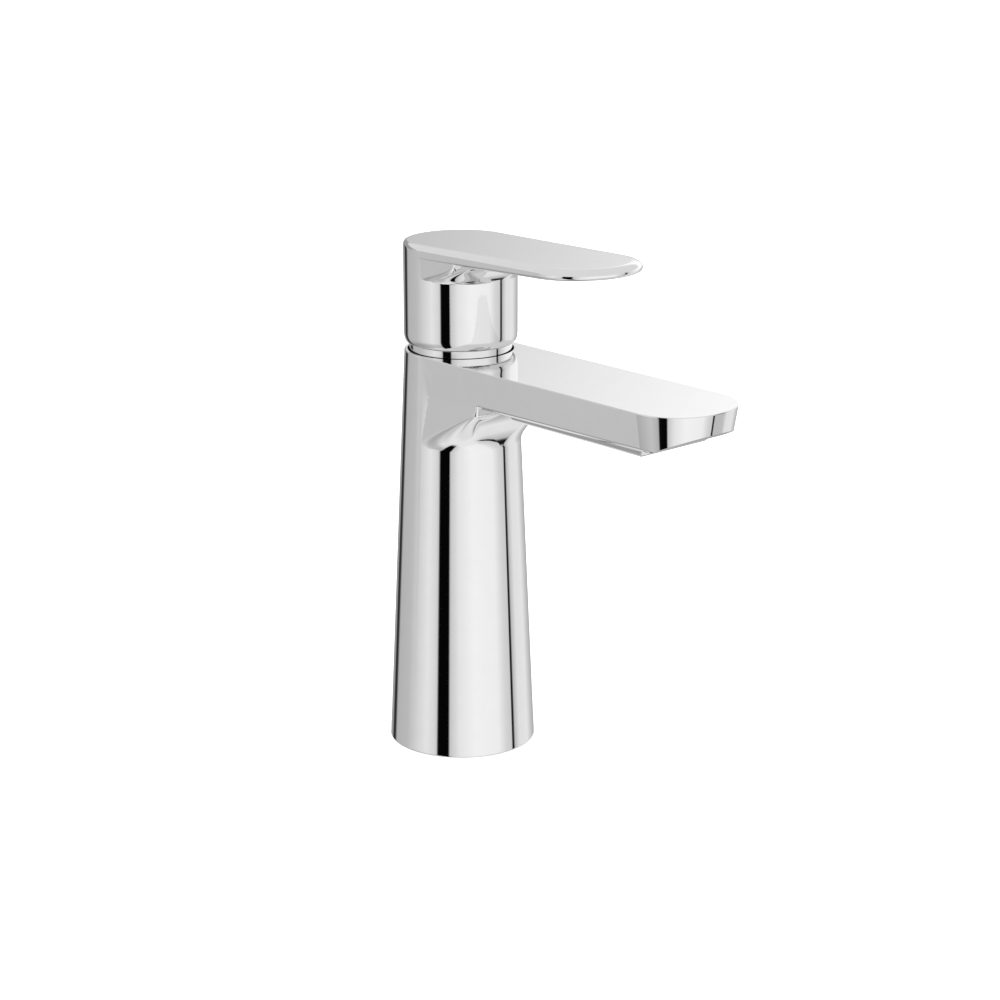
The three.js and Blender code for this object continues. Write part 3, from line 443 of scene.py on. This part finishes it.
def body():
    """Cast and turned in one: column, spout, root, and the rooms inside them."""
    shell = join(column(), spout(), *spout_root())
    inner, outer = GROOVE_R
    groove = turned("groove", [(inner, -PAST), (outer, -PAST), (outer, GROOVE_H),
                               (inner, GROOVE_H), (inner, -PAST)], steps=96)
    inlets = [cylinder("inlet", INLET_R, CORE_Z - PAST, INLET_TOP, x=x, y=INLET_Y,
                       vertices=48) for x in (-INLET_X, INLET_X)]
    stud_bore = cylinder("stud_bore", STUD_BORE_R, 0, STUD_BORE_TOP, y=STUD_Y, vertices=48)
    cut(shell, column_hollow(), stud_bore, cartridge_chamber(), spout_channel(), groove,
        *inlets)
    return smooth(shell)


# ---- Plate and aerator under the spout ---------------------------------------------------------

def plate():
    """Brazed plate with rounded front corners and a front edge that slopes back below."""
    def outline(z, inset, steps=10):
        w = PLATE_HALF_W - inset
        front = PLATE_FRONT - inset * PLATE_FRONT_SLOPE
        radius = PLATE_CORNER_R
        half = [(w, -PLATE_START - inset, z)]
        for i in range(steps + 1):
            angle = i / steps * math.pi / 2
            half.append((w - radius + radius * math.cos(angle),
                         -front + radius - radius * math.sin(angle), z))
        return half + [(-x, y, z) for x, y, z in reversed(half)]

    top_drop, top_inset = PLATE_TOP_EDGE
    made = loft("spout_plate", [
        *[outline(PLATE_Z + rise, inset) for rise, inset in PLATE_EDGE],
        outline(SPOUT_FACE_Z - top_drop, top_inset), outline(SPOUT_FACE_Z, 0)])
    boss = cylinder("boss", AERATOR_BOSS_R, PLATE_Z + PAST, BOSS_TOP, y=-AERATOR_Y)
    bore = cylinder("bore", AERATOR_R + AERATOR_GAP, PLATE_Z - PAST, SEAL_TOP, y=-AERATOR_Y)
    mouth = cylinder("mouth", AERATOR_R - SEAL_SEAT, SEAL_TOP - PAST, BOSS_TOP + PAST, y=-AERATOR_Y)
    return smooth(cut(join(made, boss), bore, mouth))


def aerator():
    """Turned aerator ring, with slots in its lip for a key."""
    inner = AERATOR_R - AERATOR_WALL
    height = AERATOR_TOP - AERATOR_Z
    section = [(inner + AERATOR_STEP, 0), (AERATOR_R - AERATOR_LIP_R, 0),
               (AERATOR_R - AERATOR_LIP_MID, AERATOR_LIP_MID), (AERATOR_R, AERATOR_LIP_R),
               (AERATOR_R, height - AERATOR_STEP), (AERATOR_R - AERATOR_STEP, height),
               (inner, height), (inner, AERATOR_STEP_TOP),
               (inner + AERATOR_STEP, AERATOR_STEP_FOOT),
               (inner + AERATOR_STEP, 0)]
    ring = turned("aerator_ring", section, steps=128)
    for turn in range(2):
        slot = box("key_slot", (-KEY_SLOT_HALF_W, -AERATOR_R - PAST, -PAST),
                   (KEY_SLOT_HALF_W, AERATOR_R + PAST, KEY_SLOT_DEPTH))
        slot.rotation_euler.z = math.pi / 4 + turn * math.pi / 2
        cut(ring, settle(slot))
    ring.location = (0, -AERATOR_Y * MM, AERATOR_Z * MM)
    return smooth(settle(ring))


def aerator_screen():
    """Perforated outlet disc with a ring of jets round a middle one."""
    screen = cylinder("aerator_jets", SCREEN_R, *SCREEN_Z, y=-AERATOR_Y)
    low, high = SCREEN_Z[0] - PAST, SCREEN_Z[1] + PAST
    jets = [cylinder("jet", SCREEN_HOLE_R, low, high, y=-AERATOR_Y, vertices=48)]
    for i in range(SCREEN_JETS):
        angle = i / SCREEN_JETS * 2 * math.pi
        jets.append(cylinder("jet", SCREEN_HOLE_R, low, high,
                             x=SCREEN_RING_R * math.cos(angle),
                             y=SCREEN_RING_R * math.sin(angle) - AERATOR_Y, vertices=48))
    return smooth(bevel(cut(screen, *jets), SCREEN_EDGE, segments=2))


# ---- Fixing kit under the worktop --------------------------------------------------------------

def stud():
    """Threaded stud with rounded thread crests and chamfered ends."""
    low, high = STUD_Z
    section = [(0, low), (STUD_CORE_R - STUD_CHAMFER, low)]
    z = low + STUD_END
    while z < high - THREAD_PITCH - STUD_END:
        section.append((STUD_CORE_R, z))
        section += [(STUD_R - depth, z + rise) for rise, depth in THREAD_CREST]
        z += THREAD_PITCH
    section += [(STUD_CORE_R, z), (STUD_CORE_R - STUD_CHAMFER, high), (0, high)]
    made = turned("threaded_stud", section, steps=72)
    made.location.y = STUD_Y * MM
    return smooth(settle(made))


def horseshoe(name, z0, z1, edge):
    """Disc with a slot for the hoses and a hole for the stud, its edges rounded."""
    low, high = z0 - PAST, z1 + PAST
    disc = cylinder(name, HORSESHOE_R, z0, z1, vertices=192)
    slot_end = cylinder("slot_end", HORSESHOE_SLOT_R, low, high)
    slot = box("slot", (-HORSESHOE_SLOT_R, -HORSESHOE_R - PAST, low),
               (HORSESHOE_SLOT_R, 0, high))
    hole = cylinder("hole", STUD_BORE_R, low, high, y=STUD_Y, vertices=64)
    return smooth(bevel(cut(disc, slot_end, slot, hole), edge))


def fixing_nut():
    """Hexagonal nut with its corners turned down and a countersunk bore."""
    z0, z1 = NUT_Z
    nut = cylinder("fixing_nut", NUT_CORNER_R, z0, z1, y=STUD_Y, vertices=6)
    face_r = NUT_CORNER_R * math.cos(math.pi / 6) + NUT_TURNED_MARGIN
    blank_r = NUT_CORNER_R + NUT_TURNED_MARGIN
    drop = (blank_r - face_r) * math.tan(math.radians(NUT_TURNED_SLOPE))
    blank = turned("blank", [(0, z0), (face_r, z0), (blank_r, z0 + drop),
                             (blank_r, z1 - drop), (face_r, z1), (0, z1)], steps=96)
    blank.location.y = STUD_Y * MM
    cut(nut, settle(blank), operation="INTERSECT")
    wide = STUD_BORE_R + NUT_SINK
    sink = turned("sink", [(0, z0 - PAST), (wide, z0 - PAST), (STUD_BORE_R, z0 + NUT_SINK_DEPTH),
                           (STUD_BORE_R, z1 - NUT_SINK_DEPTH), (wide, z1 + PAST),
                           (0, z1 + PAST)], steps=64)
    sink.location.y = STUD_Y * MM
    return smooth(cut(nut, settle(sink)))


# ---- Handle ------------------------------------------------------------------------------------

def lever_top(y):
    return HANDLE_TOP - y * math.tan(math.radians(LEVER_RISE))


def lever_thickness(y):
    return lerp(LEVER_ROOT_T, LEVER_TIP_T, -y / LEVER_REACH)


def stadium(inset, drop, steps=64):
    """Ring of the lever's outline, moved in and down from its top face by amounts that
    depend on how far forward each point is."""
    ring = []
    for start, centre_y in ((0, 0), (math.pi, CAP_R - LEVER_REACH)):
        for i in range(2 * steps + 1):
            angle = start + i / (2 * steps) * math.pi
            y = centre_y + CAP_R * math.sin(angle)
            radius = CAP_R - inset(y)
            ring.append((radius * math.cos(angle), centre_y + radius * math.sin(angle),
                         lever_top(y) - drop(y)))
    return ring


def lever(steps=12):
    """Flat lever whose top rolls over into its sides, with a tighter rounding below."""
    low_drop = LEVER_EDGE_DROP + LEVER_SIDE_H / 3

    def top_round(y):
        forward = min(max((CAP_R - y) / (2 * CAP_R), 0), 1)
        return lerp(CAP_TOP_ROUND, LEVER_TOP_ROUND, forward)

    def top_drop(y):
        return min(top_round(y), lever_thickness(y) - LEVER_SIDE_H)

    def side_end(y):
        return lever_thickness(y) - LEVER_SIDE_H / 3

    turns = [i / steps * math.pi / 2 for i in range(steps + 1)]
    low = [stadium(lambda y: LEVER_EDGE_INSET * (1 - math.sin(t)),
                   lambda y: side_end(y) + low_drop * math.cos(t)) for t in turns]
    high = [stadium(lambda y: top_round(y) * (1 - math.cos(t)),
                    lambda y: top_drop(y) * (1 - math.sin(t))) for t in turns]
    return loft("lever", low + high)


def handle_room():
    """Room for the cartridge head, round the boss that holds the stem's adapter."""
    room = cylinder("room", NECK_R - HANDLE_WALL, NECK_Z - PAST, HANDLE_ROOF_Z)
    boss = cylinder("socket_boss", SOCKET_BOSS_R, SOCKET_Z, HANDLE_ROOF_Z + PAST, vertices=96)
    return cut(room, boss)


def across_y(name, radius, y0, y1, z, vertices=64):
    """Cylinder that lies along Y."""
    bar = cylinder(name, radius, y0, y1, vertices=vertices)
    bar.rotation_euler.x = -math.pi / 2
    bar.location = (0, 0, z * MM)
    return settle(bar)


def handle(steps=12):
    """Cap and lever cast in one, hollow below for the cartridge head."""
    rise = CAP_R * math.tan(math.radians(LEVER_RISE))
    cap_top = HANDLE_TOP - rise - LEVER_ROOT_T + CAP_INTO_LEVER
    turns = [i / steps * math.pi / 2 for i in range(steps + 1)]
    chamfer = [(NECK_R + (CAP_R - NECK_R) * math.sin(t) ** CAP_CHAMFER_FULLNESS,
                CHAMFER_Z + CAP_CHAMFER * (1 - math.cos(t)) * CAP_CHAMFER_STRETCH)
               for t in turns]
    cap = turned("handle", [(0, NECK_Z), (NECK_R, NECK_Z), *chamfer, (CAP_R, cap_top),
                            (0, cap_top)])
    underside = lever_top(-CAP_R) - lever_thickness(-CAP_R) - LEVER_EDGE_DROP
    sides = flare("lever_root", CAP_R - FLARE_SINK, CAP_R - LEVER_ROOT_INSET,
                  LEVER_FILLET_R, underside, LEVER_EDGE_DROP,
                  CAP_R - LEVER_ROOT_SHORT)
    under = flare("lever_root_under", CAP_R - FLARE_SINK, CAP_R - LEVER_EDGE_INSET,
                  LEVER_FILLET_R, underside, LEVER_ROOT_OVERLAP)
    join(cap, lever(), sides, under)
    socket = box("socket", (-SOCKET_HALF, -SOCKET_HALF, SOCKET_Z - PAST),
                 (SOCKET_HALF, SOCKET_HALF, SOCKET_TOP))
    screw = across_y("screw_hole", SCREW_BORE_R, 0, SOCKET_BOSS_R + PAST, SCREW_Z)
    plug_hole = across_y("plug_hole", PLUG_BORE_R, PLUG_BORE_START, CAP_R + PAST, SCREW_Z)
    cut(cap, handle_room(), socket, screw, plug_hole)
    return smooth(cap)


def index_plug(steps=8):
    """Round plug with a domed face and a chamfered back edge."""
    end = CAP_R + PLUG_DOME
    section = [(0, PLUG_START), (PLUG_R - PLUG_CHAMFER, PLUG_START),
               (PLUG_R, PLUG_START + PLUG_CHAMFER)]
    for i in range(steps + 1):
        turn = i / steps * math.pi / 2
        section.append((PLUG_R * math.cos(turn) ** PLUG_ROUNDNESS,
                        end - PLUG_DOME * PLUG_DOME_SKIRT * (1 - math.sin(turn))))
    plug = turned("plug", section, steps=64)
    plug.rotation_euler.x = -math.pi / 2
    plug.location = (0, 0, SCREW_Z * MM)
    return smooth(settle(plug))


# ---- Materials ---------------------------------------------------------------------------------

GRAIN_DETAIL = 3.0
RING_WOBBLE = 0.4
RING_BANDS = 20        # bands that a wave pattern of scale 1 draws in a metre
BUMP_STRENGTH = 0.3
INDEX_EDGE = 0.08      # half width of the plug's colour change
INDEX_GRAIN = 0.6
MIX_FACTOR, MIX_A, MIX_B, MIX_COLOUR = 0, 6, 7, 2    # a colour mix node's sockets


def srgb(code):
    def linear(c):
        return c / 12.92 if c <= 0.04045 else ((c + 0.055) / 1.055) ** 2.4
    return [linear(int(code[i:i + 2], 16) / 255) for i in (1, 3, 5)] + [1.0]


def add(tree, kind, sockets, output=None, **settings):
    """Adds a node, sets its properties, and gives its input sockets values or links."""
    node = tree.nodes.new(kind)
    for key, value in settings.items():
        setattr(node, key, value)
    for socket, value in sockets.items():
        if isinstance(value, bpy.types.NodeSocket):
            tree.links.new(value, node.inputs[socket])
        else:
            node.inputs[socket].default_value = value
    return node if output is None else node.outputs[output]


def material(name, sockets_of):
    """A surface whose shader sockets come from sockets_of(tree, place on the object)."""
    made = bpy.data.materials.new(name)
    made.use_nodes = True
    tree = made.node_tree
    tree.nodes.clear()
    place = add(tree, "ShaderNodeTexCoord", {}, "Object")
    surface = add(tree, "ShaderNodeBsdfPrincipled", sockets_of(tree, place), "BSDF")
    add(tree, "ShaderNodeOutputMaterial", {"Surface": surface})
    return made


def process(name, first, second, rough, grain_mm=None, rings_mm=None, detail=GRAIN_DETAIL,
            metallic=0.0, depth_mm=0.0):
    """Material whose grain, or rings about the column's axis as a lathe leaves them, moves
    its colour, its roughness and, if deep, its surface."""
    def sockets(tree, place):
        if rings_mm:
            fac = add(tree, "ShaderNodeTexWave",
                      {"Vector": place, "Scale": 1 / (rings_mm * MM) / RING_BANDS,
                       "Distortion": RING_WOBBLE},
                      "Fac", wave_type="RINGS", rings_direction="Z")
        else:
            fac = add(tree, "ShaderNodeTexNoise",
                      {"Vector": place, "Scale": 1 / (grain_mm * MM), "Detail": detail}, "Fac")
        colour = add(tree, "ShaderNodeMix",
                     {MIX_FACTOR: fac, MIX_A: srgb(first), MIX_B: srgb(second)},
                     MIX_COLOUR, data_type="RGBA")
        roughness = add(tree, "ShaderNodeMapRange",
                        {"Value": fac, "To Min": rough[0], "To Max": rough[1]}, "Result")
        values = {"Base Color": colour, "Roughness": roughness, "Metallic": metallic}
        if depth_mm:
            values["Normal"] = add(tree, "ShaderNodeBump",
                                   {"Height": fac, "Strength": BUMP_STRENGTH,
                                    "Distance": depth_mm * MM}, "Normal")
        return values
    return material(name, sockets)


def index_halves(tree, place):
    """Gloss moulded plug: one half red for hot, the other blue for cold, as the eye looks
    for at once on such a tap."""
    x = add(tree, "ShaderNodeSeparateXYZ", {"Vector": place}, "X")
    side = add(tree, "ShaderNodeMapRange",
               {"Value": x, "From Min": -INDEX_EDGE * MM, "From Max": INDEX_EDGE * MM},
               "Result")
    halves = add(tree, "ShaderNodeMix",
                 {MIX_FACTOR: side, MIX_A: srgb("#1E4FA8"), MIX_B: srgb("#B3191E")},
                 MIX_COLOUR, data_type="RGBA")
    grain = add(tree, "ShaderNodeTexNoise",
                {"Vector": place, "Scale": 1 / (INDEX_GRAIN * MM), "Detail": GRAIN_DETAIL},
                "Fac")
    roughness = add(tree, "ShaderNodeMapRange",
                    {"Value": grain, "To Min": 0.18, "To Max": 0.3}, "Result")
    return {"Base Color": halves, "Roughness": roughness}


# Chrome on polished brass: mirror bright, with a faint uneven haze from wiping.
CHROME = process("polished_chrome_plate", "#EBEBEB", "#F0F0F0", (0.03, 0.05),
                 grain_mm=6.0, metallic=1.0)
# Same plate, turned first: faint rings soften its reflections.
TURNED_CHROME = process("turned_chrome_plate", "#E4E6E8", "#ECEDEE", (0.07, 0.13),
                        rings_mm=0.4, metallic=1.0)
# Brass off the lathe: warm, satin, with fine rings that stretch its highlights.
BRASS = process("machined_brass", "#C9A45C", "#D9B871", (0.22, 0.34),
                rings_mm=0.5, metallic=1.0, depth_mm=0.002)
# Steel with a zinc coat: cool grey with a cloudy, slightly spangled bloom.
STEEL = process("zinc_plated_steel", "#A9AEB2", "#C3C8CA", (0.28, 0.45),
                grain_mm=1.2, detail=5.0, metallic=1.0, depth_mm=0.005)
# Moulded EPDM: near black and dull, with a fine matt grain.
RUBBER = process("moulded_epdm_rubber", "#1B1B1C", "#262627", (0.7, 0.85),
                 grain_mm=0.3, detail=4.0, depth_mm=0.01)
# Lapped alumina: cream white with a satin sheen and hardly any texture.
CERAMIC = process("lapped_alumina", "#E9E4D8", "#F1EDE3", (0.16, 0.24), grain_mm=0.8)
# Moulded acetal: milky white, waxy, with soft flow mottling.
ACETAL = process("moulded_acetal", "#E6E6E0", "#F1F1EC", (0.34, 0.46),
                 grain_mm=2.5, depth_mm=0.005)
# Glass-filled polyamide: dark grey with a lightly speckled, dull skin.
POLYAMIDE = process("glass_filled_polyamide", "#4A4E52", "#5A5F63", (0.5, 0.65),
                    grain_mm=0.5, detail=6.0, depth_mm=0.01)
INDEX = material("moulded_index_plastic", index_halves)

FINISHES = {
    "brass": (BRASS, ["clamp_nut", "mounting_nut", "lever_stem"]),
    "steel": (STEEL, ["mounting_stud", "horseshoe_washer", "pivot_pin", "grub_screw"]),
    "rubber": (RUBBER, ["base_gasket", "aerator_seal", "horseshoe_gasket", "port_seal_hot",
                        "port_seal_cold", "port_seal_outlet"]),
    "ceramic": (CERAMIC, ["fixed_disc", "moving_disc"]),
    "white_plastic": (ACETAL, ["aerator_insert", "cartridge_housing", "disc_carrier",
                               "stem_adapter"]),
    "grey_plastic": (POLYAMIDE, ["aerator_screen", "cartridge_base",
                                 "temperature_stop_ring", "swivel_guide"]),
    "chrome": (CHROME, ["body_casting", "spout_underplate", "aerator_housing",
                        "handle_casting"]),
    "index_plastic": (INDEX, ["index_plug"]),
}


def finish(obj, made, slot_name, body_name, *nodes):
    obj.data.materials.clear()
    obj.data.materials.append(made)
    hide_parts(*nodes)
    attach(obj, body_name)
    return obj


for slot_name, (made, nodes) in FINISHES.items():
    for name in nodes:
        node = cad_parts[name]
        node.data.materials.clear()
        node.data.materials.append(made)

finish(body(), CHROME, "chrome", "root", "body_casting")
finish(plate(), CHROME, "chrome", "root", "spout_underplate")
finish(aerator(), TURNED_CHROME, "chrome", "root", "aerator_housing")
finish(handle(), CHROME, "chrome", "lever", "handle_casting")
finish(index_plug(), INDEX, "index_plastic", "lever", "index_plug")
finish(aerator_screen(), POLYAMIDE, "grey_plastic", "root", "aerator_screen")
finish(stud(), STEEL, "steel", "root", "mounting_stud")
finish(horseshoe("horseshoe_plate", *HORSESHOE_Z, HORSESHOE_EDGE), STEEL, "steel", "root",
       "horseshoe_washer")
finish(horseshoe("horseshoe_pad", *HORSESHOE_GASKET_Z, HORSESHOE_GASKET_EDGE), RUBBER,
       "rubber", "root", "horseshoe_gasket")
finish(fixing_nut(), BRASS, "brass", "root", "mounting_nut")

# ---- Studio ------------------------------------------------------------------------------------

CAMERA_TURN = -41.161
CAMERA_YAW = 0.90
CAMERA_PITCH = 16.475
CAMERA_DISTANCE = 0.9286
CAMERA_HEIGHT = 0.3683
CAMERA_REACH = (0.05, 40)
LENS_MM = 91.944
SENSOR_MM = 36

FLOOR_R = 6.0
SOFTBOX_SPREAD = 120
SOFTBOX_POWER = 4.0
SOFTBOX_HEIGHT = 2
SKY_STRENGTH = 1.18

# Turn in degrees and grey level of the panels and flags round the faucet.
PANELS = [
    (-180, 150), (-153, 150), (-147, 45), (-138, 45), (-131, 175), (-100, 184),
    (-82, 205), (-60, 226), (-47, 214), (-41.5, 198), (-40.5, 5), (-22, 5), (-20.5, 195),
    (-5, 226), (20, 240), (60, 236), (74, 212), (86, 200), (87, 20), (91, 20), (92.5, 182),
    (104, 222), (128, 226), (145, 192), (165, 160), (180, 150)]
BELOW_LEVEL = 228
SKIRTING_LEVEL = 20
SKIRTING_DEPTH = 0.34
ABOVE_LEVEL = 214
# Brightness of the backdrop: at its middle, and how it grows sideways and upwards.
BACKDROP_LEVEL = 0.344
BACKDROP_ACROSS = 2.125
BACKDROP_UP = 1.383
BACKDROP_RANGE = (0.3, 0.95)

# Where each share of the sky fades in: the part of the turned unit direction that it reads,
# and the values between which it goes from none to all.
SHARES = {
    "below": ("Z", -0.9, -0.98),
    "under_middle": ("Z", -0.32, -0.55),
    "over_floor": ("Z", -0.88, -0.66),
    "left": ("Y", -0.35, -0.6),
    "above": ("Z", 0.3, 0.42),
    "behind": ("X", -0.2, -0.6),
    "over_middle": ("Z", -0.03, 0.04),
    "under_top": ("Z", 0.42, 0.28),
}


def studio_floor():
    deselect()
    bpy.ops.mesh.primitive_circle_add(vertices=64, radius=FLOOR_R, fill_type="NGON")
    floor = named("floor")
    floor.data.materials.append(material("matt_white_sweep", lambda tree, place: {
        "Base Color": srgb("#F4F4F4"), "Roughness": 0.9}))
    floor.visible_glossy = False


def grey(level):
    return srgb(f"#{level:02x}{level:02x}{level:02x}")


def set_ramp(points, stops, start, end):
    """Gives a colour ramp its (place, grey level) stops between start and end."""
    for i, (place, level) in enumerate(stops):
        position = (place - start) / (end - start)
        if i == 0:
            point = points[0]
        elif i == len(stops) - 1:
            point = points[len(points) - 1]
        else:
            point = points.new(position)
        point.position = position
        point.color = grey(level)


def studio_light():
    """Sky of broad white and grey panels, with narrow black flags between them.
    Turns are degrees from the camera, positive to its right as seen from the faucet."""
    world = bpy.data.worlds.new("studio")
    bpy.context.scene.world = world
    world.use_nodes = True
    tree = world.node_tree
    tree.nodes.clear()
    direction = add(tree, "ShaderNodeTexCoord", {}, "Generated")
    turn = add(tree, "ShaderNodeVectorRotate",
               {"Vector": direction, "Angle": math.radians(90 - CAMERA_TURN)},
               "Vector", rotation_type="Z_AXIS")
    around = add(tree, "ShaderNodeTexGradient", {"Vector": turn}, "Fac",
                 gradient_type="RADIAL")
    ramp = add(tree, "ShaderNodeValToRGB", {"Fac": around})
    set_ramp(ramp.color_ramp.elements, PANELS, -180, 180)
    parts = add(tree, "ShaderNodeSeparateXYZ", {"Vector": turn}).outputs

    across = add(tree, "ShaderNodeMath", {0: parts["Y"], 1: BACKDROP_ACROSS,
                                          2: BACKDROP_LEVEL}, 0, operation="MULTIPLY_ADD")
    upward = add(tree, "ShaderNodeMath", {0: parts["Z"], 1: BACKDROP_UP, 2: across}, 0,
                 operation="MULTIPLY_ADD")
    backdrop = add(tree, "ShaderNodeClamp", {"Value": upward, "Min": BACKDROP_RANGE[0],
                                             "Max": BACKDROP_RANGE[1]}, 0)

    # Each layer covers those before it, by its depth times all of its shares.
    sky = ramp.outputs["Color"]
    for colour, depth, shares in (
            (grey(BELOW_LEVEL), 1.0, ["below"]),
            (grey(SKIRTING_LEVEL), SKIRTING_DEPTH, ["under_middle", "over_floor", "left"]),
            (grey(ABOVE_LEVEL), 1.0, ["above"]),
            (backdrop, 1.0, ["behind", "over_middle", "under_top"])):
        factor = depth
        for share in shares:
            part, start, end = SHARES[share]
            faded = add(tree, "ShaderNodeMapRange",
                        {"Value": parts[part], "From Min": start, "From Max": end},
                        "Result", interpolation_type="SMOOTHSTEP")
            factor = add(tree, "ShaderNodeMath", {0: factor, 1: faded}, 0,
                         operation="MULTIPLY")
        sky = add(tree, "ShaderNodeMix", {MIX_FACTOR: factor, MIX_A: sky, MIX_B: colour},
                  MIX_COLOUR, data_type="RGBA")
    back = add(tree, "ShaderNodeBackground", {"Color": sky, "Strength": SKY_STRENGTH},
               "Background")
    add(tree, "ShaderNodeOutputWorld", {"Surface": back})


def key_light():
    light = bpy.data.lights.new("overhead_softbox", "SUN")
    light.angle = math.radians(SOFTBOX_SPREAD)
    light.energy = SOFTBOX_POWER
    obj = bpy.data.objects.new("overhead_softbox", light)
    obj.location = (0, 0, SOFTBOX_HEIGHT)
    obj.visible_glossy = False
    bpy.context.scene.collection.objects.link(obj)


def camera():
    turn = math.radians(CAMERA_TURN)
    yaw = math.radians(CAMERA_YAW)
    pitch = math.radians(CAMERA_PITCH)
    back = Vector((math.sin(turn), -math.cos(turn), 0))
    right = Vector((math.cos(turn), math.sin(turn), 0))
    ahead = (-back * math.cos(yaw) + right * math.sin(yaw)) * math.cos(pitch)
    ahead.z = -math.sin(pitch)
    data = bpy.data.cameras.new("camera")
    data.sensor_width = SENSOR_MM
    data.lens = LENS_MM
    data.clip_start, data.clip_end = CAMERA_REACH
    obj = bpy.data.objects.new("camera", data)
    obj.location = back * CAMERA_DISTANCE + Vector((0, 0, CAMERA_HEIGHT))
    obj.rotation_mode = "QUATERNION"
    obj.rotation_quaternion = ahead.to_track_quat("-Z", "Y")
    bpy.context.scene.collection.objects.link(obj)
    bpy.context.scene.camera = obj


studio_floor()
studio_light()
key_light()
camera()
bpy.context.scene.view_settings.view_transform = "Standard"
